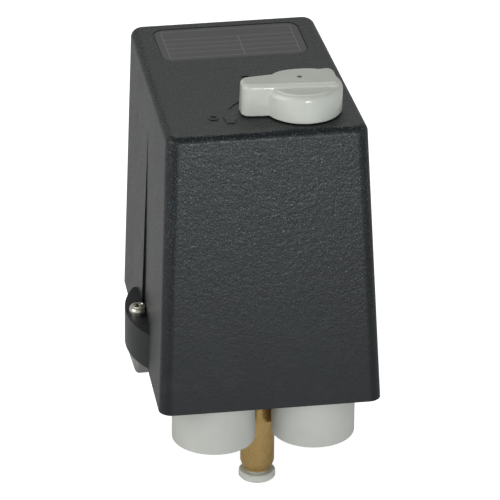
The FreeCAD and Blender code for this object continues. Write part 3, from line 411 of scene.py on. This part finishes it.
def merged_copy(node, name):
    """A copy of a CAD node's mesh with its loose triangles joined up."""
    mesh = NODES[node].data.copy()
    mesh.materials.clear()
    edit = bmesh.new()
    edit.from_mesh(mesh)
    bmesh.ops.remove_doubles(edit, verts=edit.verts, dist=MERGE_GAP)
    edit.to_mesh(mesh)
    edit.free()
    return new_object(name, mesh)


def middle_of(low, high):
    """The middle of a box seen from above, in millimetres."""
    return (low.x + high.x) / 2 / MM, (low.y + high.y) / 2 / MM


def join_rings(edit, first, second):
    """Faces between two rings of as many points."""
    count = len(first)
    for step in range(count):
        after = (step + 1) % count
        edit.faces.new((first[step], first[after], second[after], second[step]))


def lathe(name, profile, centre, turns):
    """A turned piece; the profile is a closed outline of (radius, height) points in millimetres."""
    edit = bmesh.new()
    rings = []
    for radius, height in profile:
        ring = []
        for step in range(turns):
            angle = 2 * math.pi * step / turns
            spot = (centre[0] + radius * math.cos(angle), centre[1] + radius * math.sin(angle), height)
            ring.append(edit.verts.new(Vector(spot) * MM))
        rings.append(ring)
    for low, high in zip(rings, rings[1:] + rings[:1]):
        join_rings(edit, low, high)
    bmesh.ops.recalc_face_normals(edit, faces=edit.faces)
    return object_from(edit, name)


def rounded_profile(corners, steps):
    """A closed outline with an arc at each corner; corners are (radius, height, rounding)."""
    points = []
    for index, (x, y, rounding) in enumerate(corners):
        here = Vector((x, y))
        if rounding <= 0:
            points.append((x, y))
            continue
        back = (Vector(corners[index - 1][:2]) - here).normalized()
        ahead = (Vector(corners[(index + 1) % len(corners)][:2]) - here).normalized()
        half = back.angle(ahead) / 2
        reach = rounding / math.tan(half)
        middle = here + (back + ahead).normalized() * (rounding / math.sin(half))
        start, end = here + back * reach - middle, here + ahead * reach - middle
        for step in range(steps + 1):
            arm = start.normalized().slerp(end.normalized(), step / steps) * rounding
            points.append(tuple(middle + arm))
    return points


def finish_piece(piece, slot, body, *replaced):
    """Gives a piece its finish, its body and the CAD nodes it stands for."""
    piece.data.materials.clear()
    piece.data.materials.append(FINISHES[slot])
    if replaced:
        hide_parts(*replaced)
    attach(piece, body)


# ----------------------------------------------------------- geometry nodes

def new_tree(name, inputs):
    """A node tree with geometry in and out and its named inputs."""
    tree = bpy.data.node_groups.new(name, "GeometryNodeTree")
    face = tree.interface
    face.new_socket("Geometry", in_out="INPUT", socket_type="NodeSocketGeometry")
    for label, kind in inputs.items():
        face.new_socket(label, in_out="INPUT", socket_type="NodeSocket" + kind)
    face.new_socket("Geometry", in_out="OUTPUT", socket_type="NodeSocketGeometry")
    return tree, tree.nodes.new("NodeGroupInput")


def close_tree(tree, start, geometry):
    """Ends a tree in real geometry that has its finish on."""
    real = tree.nodes.new("GeometryNodeRealizeInstances")
    paint = tree.nodes.new("GeometryNodeSetMaterial")
    end = tree.nodes.new("NodeGroupOutput")
    tree.links.new(geometry, real.inputs[0])
    tree.links.new(real.outputs[0], paint.inputs["Geometry"])
    tree.links.new(start.outputs["Finish"], paint.inputs["Material"])
    tree.links.new(paint.outputs[0], end.inputs[0])
    return tree


def by_modifier(tree, values, mesh, name):
    """Runs a node tree on a mesh and returns the result as a plain mesh object."""
    carrier = new_object(name, mesh)
    modifier = carrier.modifiers.new("build", "NODES")
    modifier.node_group = tree
    sockets = {item.name: item.identifier for item in tree.interface.items_tree if item.in_out == "INPUT"}
    for label, value in values.items():
        modifier[sockets[label]] = value
    return bake_modifiers(carrier)


def screw_tree():
    """Node tree: a screw on each point, turned by a random angle from a seed."""
    tree, start = new_tree("screws_on_points",
                           {"Screw": "Object", "Finish": "Material", "Turn": "Float", "Seed": "Int"})
    nodes, links = tree.nodes, tree.links
    source = nodes.new("GeometryNodeObjectInfo")
    turn = nodes.new("FunctionNodeRandomValue")
    turn.data_type = "FLOAT"
    largest, chosen = turn.inputs[3], turn.outputs[1]
    angle = nodes.new("ShaderNodeCombineXYZ")
    place = nodes.new("GeometryNodeInstanceOnPoints")
    links.new(start.outputs["Screw"], source.inputs["Object"])
    links.new(start.outputs["Turn"], largest)
    links.new(start.outputs["Seed"], turn.inputs["Seed"])
    links.new(chosen, angle.inputs["Z"])
    links.new(start.outputs["Geometry"], place.inputs["Points"])
    links.new(source.outputs["Geometry"], place.inputs["Instance"])
    links.new(angle.outputs[0], place.inputs["Rotation"])
    return close_tree(tree, start, place.outputs[0])


def thread_tree():
    """Node tree: a thread's ridge along a spiral."""
    tree, start = new_tree("thread_ridge", {"Turns": "Float", "Radius": "Float", "Height": "Float",
                                            "Ridge": "Float", "Finish": "Material"})
    nodes, links = tree.nodes, tree.links
    spiral = nodes.new("GeometryNodeCurveSpiral")
    spiral.inputs["Resolution"].default_value = 64
    profile = nodes.new("GeometryNodeCurvePrimitiveCircle")
    profile.inputs["Resolution"].default_value = 6
    sweep = nodes.new("GeometryNodeCurveToMesh")
    sweep.inputs["Fill Caps"].default_value = True
    links.new(start.outputs["Turns"], spiral.inputs["Rotations"])
    links.new(start.outputs["Radius"], spiral.inputs["Start Radius"])
    links.new(start.outputs["Radius"], spiral.inputs["End Radius"])
    links.new(start.outputs["Height"], spiral.inputs["Height"])
    links.new(start.outputs["Ridge"], profile.inputs["Radius"])
    links.new(spiral.outputs["Curve"], sweep.inputs["Curve"])
    links.new(profile.outputs["Curve"], sweep.inputs["Profile Curve"])
    return close_tree(tree, start, sweep.outputs[0])


# ------------------------------------------------------------------- pieces

# The valve body's half section, up the outside and down the bore: (radius, height, rounding) in millimetres.
VALVE_OUTLINE = (
    (4.9, -23.3, 0.1), (5.15, -23.3, 0.1), (5.15, -22.5, 0.1), (5.3, -22.3, 0.05), (5.65, -21.4, 0.4),
    (6.05, -20.2, 0.5), (6.05, 15, 0), (3.5, 15, 0), (3.5, 22, 0.3), (1.55, 22, 0.2), (1.55, 12, 0),
    (3.6, 12, 0), (3.6, -3.6, 0), (1.4, -3.6, 0), (1.4, -9, 0), (3.2, -9, 0), (3.2, -13.2, 0),
    (4.9, -13.2, 0), (4.9, -15.6, 0), (4.3, -15.6, 0), (4.3, -22.3, 0), (4.9, -22.3, 0),
)

# Gland nuts, in millimetres: the level of the seal's seat and the roundings of the upper edges.
SEAL_LEVEL = -0.05
TOP_EDGE, SEAL_EDGE = 0.25, 0.2

# The port's thread, in millimetres: from the mouth to its start, and the plain end of the port.
THREAD_START, THREAD_END = 0.9, 2

# The cover screws, in millimetres, and the most that one is turned, in radians.
SCREW_HEAD, SCREW_HEIGHT, SCREW_RECESS, SCREW_SHANK = 3.5, 2.6, 2.1, 1.95
SCREW_TURN, SCREW_SEED = 1.5, 5

# A screw's shape, as shares of its head: straight side, crown's inset, recess floor, blade width, tapers.
HEAD_SIDE, HEAD_INSET = 0.38, 0.42
RECESS_FLOOR, RECESS_BLADE, RECESS_TAPER, BLADE_TAPER = 0.3, 0.24, 0.45, 0.8

KNOB_VOXEL = 0.22 * MM


def make_cover():
    """The moulded cover, from its CAD shape with the blends shaded round."""
    piece = smooth(merged_copy("cover", "cover_shell"), 24.0)
    finish_piece(piece, "cover_plastic", "housing", "cover")


def make_plate():
    """The film in its recess."""
    piece = smooth(merged_copy("rating_plate", "rating_film"), 30.0)
    finish_piece(piece, "plate_film", "housing", "rating_plate")


def ease(value, low, high):
    """0 at the low value and 1 at the high one, smoothly between."""
    share = min(1.0, max(0.0, (value - low) / (high - low)))
    return share * share * (3 - 2 * share)


def knob_height(across, along, sizes):
    """Height of the round part over its seat: hollow beside the bar, with a lip that dips in the middle."""
    radius, half = sizes.knob_radius, sizes.bar_tail_half
    lip = ease(abs(along), half, radius)
    middle = max(0.0, 1 - (across / radius) ** 2)
    scoop = sizes.scoop_front if along < 0 else sizes.scoop_back
    return sizes.disc_height - scoop * lip * middle - sizes.hollow * (1 - lip)


def knob_disc(edit, sizes):
    """The knob's round part, as rings from its middle to its foot."""
    turns, rings, flat_share = 144, 26, 0.6
    radius, shoulder = sizes.knob_radius, sizes.shoulder
    rows = []
    for ring in range(1, rings + 1):
        share = ring / rings
        bend = max(0.0, (share - flat_share) / (1 - flat_share)) * math.pi / 2
        reach = (radius - shoulder) * min(1.0, share / flat_share) + shoulder * math.sin(bend)
        drop = shoulder * (1 - math.cos(bend))
        row = []
        for step in range(turns):
            angle = 2 * math.pi * step / turns
            x, y = reach * math.cos(angle), reach * math.sin(angle)
            row.append(edit.verts.new((x, y, knob_height(x, y, sizes) - drop)))
        rows.append(row)
    rows.append([edit.verts.new((vert.co.x, vert.co.y, 0)) for vert in rows[-1]])
    for inner, outer in zip(rows, rows[1:]):
        for step in range(turns):
            after = (step + 1) % turns
            edit.faces.new((inner[step], outer[step], outer[after], inner[after]))
    edit.faces.new(rows[0])
    edit.faces.new(list(reversed(rows[-1])))


def knob_bar(edit, sizes):
    """The tapered pointer bar across the round part, with rounded edges."""
    draft = 0.25
    corners = bmesh.ops.create_cube(edit, size=1.0)["verts"]
    for vert in corners:
        x, y, z = vert.co
        narrow = draft if z > 0 else 0.0
        reach, half = sizes.bar_reach, sizes.bar_tip_half
        if x > 0:
            reach, half = sizes.bar_tail, sizes.bar_tail_half
        vert.co = Vector((math.copysign(reach - narrow, x),
                          math.copysign(half - narrow, y) + sizes.bar_offset,
                          sizes.bar_height if z > 0 else 0.0))
    uprights = {edge for vert in corners for edge in vert.link_edges
                if abs(edge.verts[0].co.z - edge.verts[1].co.z) > 1}
    bent = bmesh.ops.bevel(edit, geom=list(uprights), offset=sizes.bar_corner, segments=8,
                           profile=0.5, affect="EDGES")
    rim = {edge for vert in bent["verts"] for edge in vert.link_edges
           if min(v.co.z for v in edge.verts) > sizes.bar_height - 0.01}
    bmesh.ops.bevel(edit, geom=list(rim), offset=sizes.bar_edge, segments=6, profile=0.5, affect="EDGES")


def make_knob(sizes):
    """The off knob: a scooped disc and a pointer bar, melted into one moulding."""
    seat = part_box("knob")[0].z / MM
    edit = bmesh.new()
    knob_disc(edit, sizes)
    knob_bar(edit, sizes)
    bmesh.ops.recalc_face_normals(edit, faces=edit.faces)
    place = Matrix.Translation((sizes.axis_x, sizes.axis_y, seat)) @ Matrix.Rotation(sizes.turn, 4, "Z")
    edit.transform(Matrix.Scale(MM, 4) @ place)
    piece = object_from(edit, "knob_cap")
    melt = piece.modifiers.new("melt", "REMESH")
    melt.mode = "VOXEL"
    melt.voxel_size = KNOB_VOXEL
    bake_modifiers(piece)
    soften = piece.modifiers.new("soften", "SMOOTH")
    soften.factor = 0.5
    soften.iterations = 6
    thin = piece.modifiers.new("thin", "DECIMATE")
    thin.ratio = 0.5
    bake_modifiers(piece)
    smooth(piece, 60.0, weighted=False)
    finish_piece(piece, "grey_plastic", "knob", "knob")


def screw_head(head, height):
    """A pan head without its recess, seat at zero, in millimetres."""
    turns, crown_steps = 48, 6
    crown = [(head, 0.0), (head, height * HEAD_SIDE)]
    for step in range(1, crown_steps + 1):
        bend = step / crown_steps * math.pi / 2
        crown.append((head - head * HEAD_INSET * (1 - math.cos(bend)),
                      height * HEAD_SIDE + height * (1 - HEAD_SIDE) * math.sin(bend)))
    edit = bmesh.new()
    rows = []
    for radius, level in crown:
        angles = [2 * math.pi * step / turns for step in range(turns)]
        rows.append([edit.verts.new((radius * math.cos(a), radius * math.sin(a), level)) for a in angles])
    for low, high in zip(rows, rows[1:]):
        join_rings(edit, low, high)
    edit.faces.new(rows[-1])
    edit.faces.new(list(reversed(rows[0])))
    return object_from(edit, "screw_head")


def screw_recess(height, recess):
    """The cross that is cut out of a screw's head: two tapered blades, in millimetres."""
    edit = bmesh.new()
    for turn in (0, 1):
        for vert in bmesh.ops.create_cube(edit, size=1.0)["verts"]:
            x, y, z = vert.co
            across, along, level = recess, recess * RECESS_BLADE, height + 0.5
            if z < 0:
                across, along, level = across * RECESS_TAPER, along * BLADE_TAPER, height * RECESS_FLOOR
            point = Vector((math.copysign(across, x), math.copysign(along, y), level))
            vert.co = Matrix.Rotation(turn * math.pi / 2, 3, "Z") @ point
    return object_from(edit, "recess")


def screw_mesh(shank_length):
    """A pan-head screw with a cross recess and its shank, head's seat at zero."""
    body = screw_head(SCREW_HEAD, SCREW_HEIGHT)
    cutter = screw_recess(SCREW_HEIGHT, SCREW_RECESS)
    carve = body.modifiers.new("carve", "BOOLEAN")
    carve.operation, carve.object, carve.solver = "DIFFERENCE", cutter, "EXACT"
    carve.use_self = True
    bake_modifiers(body)
    bpy.data.objects.remove(cutter)
    edit = bmesh.new()
    edit.from_mesh(body.data)
    shank = bmesh.ops.create_cone(edit, cap_ends=True, segments=32, radius1=SCREW_SHANK,
                                  radius2=SCREW_SHANK, depth=shank_length)
    for vert in shank["verts"]:
        vert.co.z -= shank_length / 2 - 0.05
    for vert in edit.verts:
        vert.co *= MM
    bmesh.ops.recalc_face_normals(edit, faces=edit.faces)
    edit.to_mesh(body.data)
    edit.free()
    mesh = smooth(body, 28.0).data.copy()
    bpy.data.objects.remove(body)
    return mesh


def make_cover_screws():
    """The two cover screws, heads up."""
    low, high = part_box("cover_screws")
    seat = high.z / MM - SCREW_HEIGHT
    x = high.x / MM - SCREW_HEAD
    model = new_object("cover_screw_model", screw_mesh(seat - low.z / MM))
    points = bpy.data.meshes.new("cover_screw_pair")
    points.from_pydata([Vector(place) * MM for place in ((-x, 0, seat), (x, 0, seat))], [], [])
    values = {"Screw": model, "Finish": FINISHES["zinc_steel"], "Turn": SCREW_TURN, "Seed": SCREW_SEED}
    piece = by_modifier(screw_tree(), values, points, "cover_screw_pair")
    bpy.data.objects.remove(model)
    finish_piece(piece, "zinc_steel", "housing", "cover_screws")


def make_flange(sizes):
    """The die-cast flange, and the ridges of its port thread."""
    casting = smooth(merged_copy("pressure_flange", "flange_casting"), 30.0)
    finish_piece(casting, "zinc_casting", "housing", "pressure_flange")
    turns = int((sizes.thread_depth - THREAD_END) / sizes.thread_pitch)
    values = {"Turns": float(turns), "Radius": sizes.thread_radius * MM,
              "Height": turns * sizes.thread_pitch * MM, "Ridge": sizes.thread_ridge * MM,
              "Finish": FINISHES["zinc_casting"]}
    ridge = by_modifier(thread_tree(), values, bpy.data.meshes.new("port_thread"), "port_thread")
    for vert in ridge.data.vertices:
        vert.co.z += THREAD_START * MM
    smooth(ridge, 70.0, weighted=False)
    finish_piece(ridge, "zinc_casting", "housing")


def make_glands(sizes):
    """Both clamping nuts, turned, with a rounded rim and mouth, and the collars that they screw on."""
    for side in ("left", "right"):
        low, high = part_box("gland_nut_" + side)
        foot, top, outer = low.z / MM, high.z / MM, (high.x - low.x) / 2 / MM
        bore, seat = sizes.cable_radius, sizes.seal_radius
        corners = [(outer, foot, sizes.rim), (outer, top, TOP_EDGE), (seat, top, SEAL_EDGE),
                   (seat, SEAL_LEVEL, 0.0), (bore, SEAL_LEVEL, 0.0), (bore, foot, sizes.mouth)]
        outline = rounded_profile(corners, steps=5)
        nut = smooth(lathe("gland_cap_" + side, outline, middle_of(low, high), turns=128), 40.0)
        finish_piece(nut, "gland_plastic", "gland_nut_" + side, "gland_nut_" + side)
    collars = smooth(merged_copy("gland_bodies", "gland_collars"), 30.0)
    finish_piece(collars, "gland_plastic", "housing", "gland_bodies")


def make_valve():
    """The brass valve body and the release ring at its foot."""
    outline = rounded_profile(VALVE_OUTLINE, steps=4)
    body = smooth(lathe("valve_barrel", outline, middle_of(*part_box("valve_body")), turns=96), 35.0)
    finish_piece(body, "brass", "housing", "valve_body")
    ring = smooth(merged_copy("release_ring", "release_collet"), 40.0)
    finish_piece(ring, "grey_plastic", "release_ring", "release_ring")


def paint_inner_parts():
    """Finishes on every CAD node that stays as it is."""
    for name, node in NODES.items():
        if not node.hide_render:
            node.data.materials.clear()
            node.data.materials.append(FINISHES[SLOT_OF[name]])


# -------------------------------------------------------------------- stage

FLOOR_GAP, FLOOR_REACH = 0.0005, 8.0
ROOM_FRONT, ROOM_BACK = 1.3, 0.82
LIGHT_TARGET = (0.0, 0.0, 0.05)

# The soft boxes: name, the setting with its power, place, size and colour.
BOXES = (
    ("left_box", "left_light", (-1.1, -0.25, 0.55), (0.9, 1.1), (1.0, 0.985, 0.95)),
    ("top_box", "top_light", (0.1, 0.8, 1.15), (0.9, 0.7), (1.0, 0.99, 0.97)),
    ("front_box", "front_light", (0.06, -0.64, 0.15), (0.12, 0.12), (0.94, 0.985, 1.0)),
)


def add_light(name, power, place, size, colour):
    lamp = bpy.data.lights.new(name, "AREA")
    lamp.shape, lamp.size, lamp.size_y = "RECTANGLE", size[0], size[1]
    lamp.energy, lamp.color = power, colour
    light = bpy.data.objects.new(name, lamp)
    light.location = place
    light.rotation_euler = (Vector(LIGHT_TARGET) - Vector(place)).to_track_quat("-Z", "Y").to_euler()
    bpy.context.scene.collection.objects.link(light)


def build_room(tree, sizes):
    """An even room that is darker overhead and a little brighter in front."""
    nodes, links = tree.nodes, tree.links
    axes = nodes.new("ShaderNodeSeparateXYZ")
    links.new(nodes.new("ShaderNodeTexCoord").outputs["Generated"], axes.inputs[0])
    upwards = ("Z", 0.2, 0.8, 1.0, sizes.overhead)
    rearwards = ("Y", -1.0, 1.0, ROOM_FRONT, ROOM_BACK)
    shares = []
    for axis, *ends in (upwards, rearwards):
        share = nodes.new("ShaderNodeMapRange")
        for name, value in zip(("From Min", "From Max", "To Min", "To Max"), ends):
            share.inputs[name].default_value = value
        links.new(axes.outputs[axis], share.inputs["Value"])
        shares.append(share)
    both, strength = nodes.new("ShaderNodeMath"), nodes.new("ShaderNodeMath")
    both.operation = strength.operation = "MULTIPLY"
    links.new(shares[0].outputs[0], both.inputs[0])
    links.new(shares[1].outputs[0], both.inputs[1])
    links.new(both.outputs[0], strength.inputs[0])
    strength.inputs[1].default_value = sizes.room_light
    nodes["Background"].inputs["Color"].default_value = (1.0, 1.0, 1.0, 1)
    links.new(strength.outputs[0], nodes["Background"].inputs["Strength"])


def make_floor(sizes):
    """A pale floor that is whiter where the camera sees it, and clear from below."""
    level, reach = CAD_BOX[0].z - FLOOR_GAP, FLOOR_REACH
    mesh = bpy.data.meshes.new("floor")
    corners = [(-reach, -reach, level), (reach, -reach, level), (reach, reach, level), (-reach, reach, level)]
    mesh.from_pydata(corners, [], [(0, 1, 2, 3)])
    floor = new_object("floor", mesh)
    f = Finish("floor_paper")
    tooth = f.noise(400.0, 3.0, 0.6)
    base = f.blend(tooth, tint(sizes.floor_colour, 0.99), tint(sizes.floor_colour, 1.01))
    seen = f.node("ShaderNodeLightPath", output="Is Camera Ray")
    glow = f.blend(seen, (0.0, 0.0, 0.0, 1), (1.0, 1.0, 1.0, 1))
    below = f.node("ShaderNodeNewGeometry", output="Backfacing")
    paper = f.close(Base_Color=base, Roughness=tooth * 0.1 + 0.8, Emission_Color=glow,
                    Emission_Strength=sizes.floor_glow, Alpha=1.0 - below)
    floor.data.materials.append(paper)


def make_camera(sizes):
    view = bpy.data.cameras.new("camera")
    view.sensor_width = 36.0
    view.lens = sizes.lens
    view.clip_end = 20.0
    eye = bpy.data.objects.new("camera", view)
    turn, tilt = sizes.view_turn, sizes.view_tilt
    forward = Vector((math.sin(turn) * math.cos(tilt), math.cos(turn) * math.cos(tilt), -math.sin(tilt)))
    eye.location = Vector(sizes.view_target) - forward * sizes.view_distance
    eye.rotation_mode = "QUATERNION"
    roll = Matrix.Rotation(sizes.view_roll, 3, "Z").to_quaternion()
    eye.rotation_quaternion = forward.to_track_quat("-Z", "Y") @ roll
    bpy.context.scene.collection.objects.link(eye)
    bpy.context.scene.camera = eye


def make_stage(sizes):
    """A pale floor, soft lights and the camera."""
    make_floor(sizes)
    world = bpy.data.worlds.new("room")
    world.use_nodes = True
    build_room(world.node_tree, sizes)
    bpy.context.scene.world = world
    bpy.context.scene.view_settings.view_transform = "Standard"
    for name, setting, place, size, colour in BOXES:
        add_light(name, getattr(sizes, setting), place, size, colour)
    make_camera(sizes)


# ----------------------------------------------------------------- settings

def length_mm(name, description, default):
    return bpy.props.FloatProperty(name=name, description=description + ", in millimetres",
                                   default=default, min=0.0)


def place_mm(name, description, default):
    return bpy.props.FloatProperty(name=name, description=description + ", in millimetres",
                                   default=default)


def angle(name, description, degrees):
    return bpy.props.FloatProperty(name=name, description=description, subtype="ANGLE",
                                   default=math.radians(degrees))


def strength(name, description, default, unit="NONE"):
    return bpy.props.FloatProperty(name=name, description=description, default=default, min=0.0,
                                   unit=unit)


def colour(name, description, default):
    return bpy.props.FloatVectorProperty(name=name, description=description, default=default, size=3,
                                         subtype="COLOR", min=0.0, max=1.0)


class SwitchLook(bpy.types.PropertyGroup):
    """Colours and surface texture."""
    cover_colour: colour("Cover colour", "Colour of the cover's plastic", (0.0042, 0.0062, 0.0072))
    # The fleck colour is the colour of the cover's painted glints: light flecks painted in as highlights on its
    # grain.
    painted_glint_colour: colour("Fleck colour", "Colour of the light flecks in the cover's grain",
                         (0.05, 0.074, 0.086))
    film_colour: colour("Film colour", "Colour of the rating film", (0.045, 0.046, 0.046))
    ink_colour: colour("Ink colour", "Colour of the printed rules", (0.3, 0.31, 0.31))
    knob_colour: colour("Knob colour", "Colour of the knob and the release ring", (0.56, 0.58, 0.53))
    gland_colour: colour("Gland colour", "Colour of the cable glands", (0.5, 0.51, 0.475))
    casting_colour: colour("Casting colour", "Colour of the die-cast flange", (0.36, 0.36, 0.35))
    brass_colour: colour("Brass colour", "Colour of the valve body", (0.6, 0.41, 0.17))
    grain: length_mm("Grain", "Size of the cover's surface grain", 0.8)
    grain_depth: length_mm("Grain depth", "Depth of the cover's surface grain", 0.15)


class KnobSizes(bpy.types.PropertyGroup):
    """Sizes of the off knob."""
    axis_x: place_mm("Axis X", "Knob axis, to the right", 15.2)
    axis_y: place_mm("Axis Y", "Knob axis, to the back", -22.0)
    knob_radius: length_mm("Radius", "Round part", 13.7)
    turn: angle("Turn", "How far the knob is turned past square", 1.2)
    disc_height: length_mm("Disc height", "Lip of the round part over its seat", 10.75)
    scoop_front: length_mm("Front scoop", "How far the lip dips in the middle of the front", 0.45)
    scoop_back: length_mm("Back scoop", "How far the lip dips in the middle of the back", 1.4)
    hollow: length_mm("Hollow", "How far the round part is lower beside the bar than at its lip", 0.75)
    shoulder: length_mm("Shoulder", "Rounding of the disc's edge", 2.5)
    bar_height: length_mm("Bar height", "Pointer bar over its seat", 11.4)
    bar_offset: length_mm("Bar offset", "Middle of the pointer bar behind the axis", 0.4)
    bar_tip_half: length_mm("Tip half width", "Half width at the pointer's end", 4.3)
    bar_tail_half: length_mm("Tail half width", "Half width at the blunt end", 7.6)
    bar_reach: length_mm("Bar reach", "Axis to the pointer's end", 22.2)
    bar_tail: length_mm("Bar tail", "Axis to the blunt end", 12.15)
    bar_corner: length_mm("Bar corner", "Rounding of the bar's upright corners", 2.9)
    bar_edge: length_mm("Bar edge", "Rounding of the bar's upper edge", 1.4)


class FittingSizes(bpy.types.PropertyGroup):
    """Sizes of the glands and the port thread."""
    cable_radius: length_mm("Cable radius", "Cable entry of a gland", 6.8)
    seal_radius: length_mm("Seal radius", "Room for the gland's seal", 9.45)
    rim: length_mm("Rim", "Rounding of a gland nut's lower rim", 0.5)
    mouth: length_mm("Mouth", "Rounding of the cable entry", 0.8)
    thread_radius: length_mm("Thread radius", "Wall of the pressure port", 9.3)
    thread_depth: length_mm("Thread depth", "Depth of the pressure port", 14.0)
    thread_pitch: length_mm("Thread pitch", "Pitch of the pressure port's thread", 1.814)
    thread_ridge: length_mm("Thread ridge", "Half height of a thread ridge", 0.45)


class StageSizes(bpy.types.PropertyGroup):
    """Floor, lights and camera."""
    floor_colour: colour("Floor colour", "Colour of the floor", (0.8, 0.8, 0.8))
    room_light: strength("Room light", "Strength of the even light", 0.62)
    overhead: strength("Overhead", "Share of the even light that comes from overhead", 0.35)
    floor_glow: strength("Floor glow", "Whiteness added to the floor where the camera sees it", 0.75)
    left_light: strength("Left light", "Power of the left light box", 6.0, unit="POWER")
    top_light: strength("Top light", "Power of the top light box", 3.5, unit="POWER")
    front_light: strength("Front light", "Power of the front light box", 1.25, unit="POWER")
    lens: bpy.props.FloatProperty(name="Lens", description="Focal length", default=424.6, unit="CAMERA")
    view_turn: angle("View turn", "Camera's turn to the right of the rear", 10.355)
    view_tilt: angle("View tilt", "How far the camera looks down", 26.373)
    view_roll: angle("View roll", "Camera's roll", 0.706)
    view_distance: bpy.props.FloatProperty(name="View distance", description="Camera to target",
                                           subtype="DISTANCE", unit="LENGTH", default=2.0576)
    view_target: bpy.props.FloatVectorProperty(name="View target", description="Point the camera looks at",
                                               subtype="TRANSLATION",
                                               default=(-0.0037934, -0.0273327, 0.0635493))


# ---------------------------------------------------------------- operators

class SWITCH_OT_finishes(bpy.types.Operator):
    """Make every finish"""
    bl_idname = "switch.finishes"
    bl_label = "Make finishes"

    def execute(self, context):
        FINISHES.update(make_finishes(context.scene.switch_look))
        return {"FINISHED"}


class SWITCH_OT_cover(bpy.types.Operator):
    """Build the moulded cover"""
    bl_idname = "switch.cover"
    bl_label = "Build cover"

    def execute(self, context):
        make_cover()
        return {"FINISHED"}


class SWITCH_OT_plate(bpy.types.Operator):
    """Build the rating film"""
    bl_idname = "switch.plate"
    bl_label = "Build rating film"

    def execute(self, context):
        make_plate()
        return {"FINISHED"}


class SWITCH_OT_knob(bpy.types.Operator):
    """Build the off knob"""
    bl_idname = "switch.knob"
    bl_label = "Build knob"

    def execute(self, context):
        make_knob(context.scene.switch_knob)
        return {"FINISHED"}


class SWITCH_OT_screws(bpy.types.Operator):
    """Build the cover screws"""
    bl_idname = "switch.screws"
    bl_label = "Build cover screws"

    def execute(self, context):
        make_cover_screws()
        return {"FINISHED"}


class SWITCH_OT_flange(bpy.types.Operator):
    """Build the die-cast flange with its port thread"""
    bl_idname = "switch.flange"
    bl_label = "Build flange"

    def execute(self, context):
        make_flange(context.scene.switch_fittings)
        return {"FINISHED"}


class SWITCH_OT_glands(bpy.types.Operator):
    """Build the cable glands"""
    bl_idname = "switch.glands"
    bl_label = "Build cable glands"

    def execute(self, context):
        make_glands(context.scene.switch_fittings)
        return {"FINISHED"}


class SWITCH_OT_valve(bpy.types.Operator):
    """Build the unloader valve"""
    bl_idname = "switch.valve"
    bl_label = "Build valve"

    def execute(self, context):
        make_valve()
        return {"FINISHED"}


class SWITCH_OT_inner(bpy.types.Operator):
    """Paint the inner parts"""
    bl_idname = "switch.inner"
    bl_label = "Paint inner parts"

    def execute(self, context):
        paint_inner_parts()
        return {"FINISHED"}


class SWITCH_OT_stage(bpy.types.Operator):
    """Set up the floor, the lights and the camera"""
    bl_idname = "switch.stage"
    bl_label = "Set up stage"

    def execute(self, context):
        make_stage(context.scene.switch_stage)
        return {"FINISHED"}


OPERATORS = (SWITCH_OT_finishes, SWITCH_OT_cover, SWITCH_OT_plate, SWITCH_OT_knob, SWITCH_OT_screws,
             SWITCH_OT_flange, SWITCH_OT_glands, SWITCH_OT_valve, SWITCH_OT_inner, SWITCH_OT_stage)
SETTINGS = {"switch_look": SwitchLook, "switch_knob": KnobSizes, "switch_fittings": FittingSizes,
            "switch_stage": StageSizes}


class SWITCH_PT_panel(bpy.types.Panel):
    """Pressure switch tools"""
    bl_idname = "SWITCH_PT_panel"
    bl_label = "Pressure switch"
    bl_space_type = "VIEW_3D"
    bl_region_type = "UI"
    bl_category = "Pressure switch"

    def draw(self, context):
        for group in SETTINGS:
            settings = getattr(context.scene, group)
            column = self.layout.box().column(align=True)
            for name in settings.__annotations__:
                column.prop(settings, name)
        for operator in OPERATORS:
            self.layout.operator(operator.bl_idname)


def register():
    for group in (*SETTINGS.values(), *OPERATORS, SWITCH_PT_panel):
        bpy.utils.register_class(group)
    for name, group in SETTINGS.items():
        setattr(bpy.types.Scene, name, bpy.props.PointerProperty(type=group))


def unregister():
    for name in SETTINGS:
        delattr(bpy.types.Scene, name)
    for group in reversed((*SETTINGS.values(), *OPERATORS, SWITCH_PT_panel)):
        bpy.utils.unregister_class(group)


def main():
    register()
    for operator in OPERATORS:
        group, name = operator.bl_idname.split(".")
        getattr(getattr(bpy.ops, group), name)()


if __name__ == "__main__":
    main()
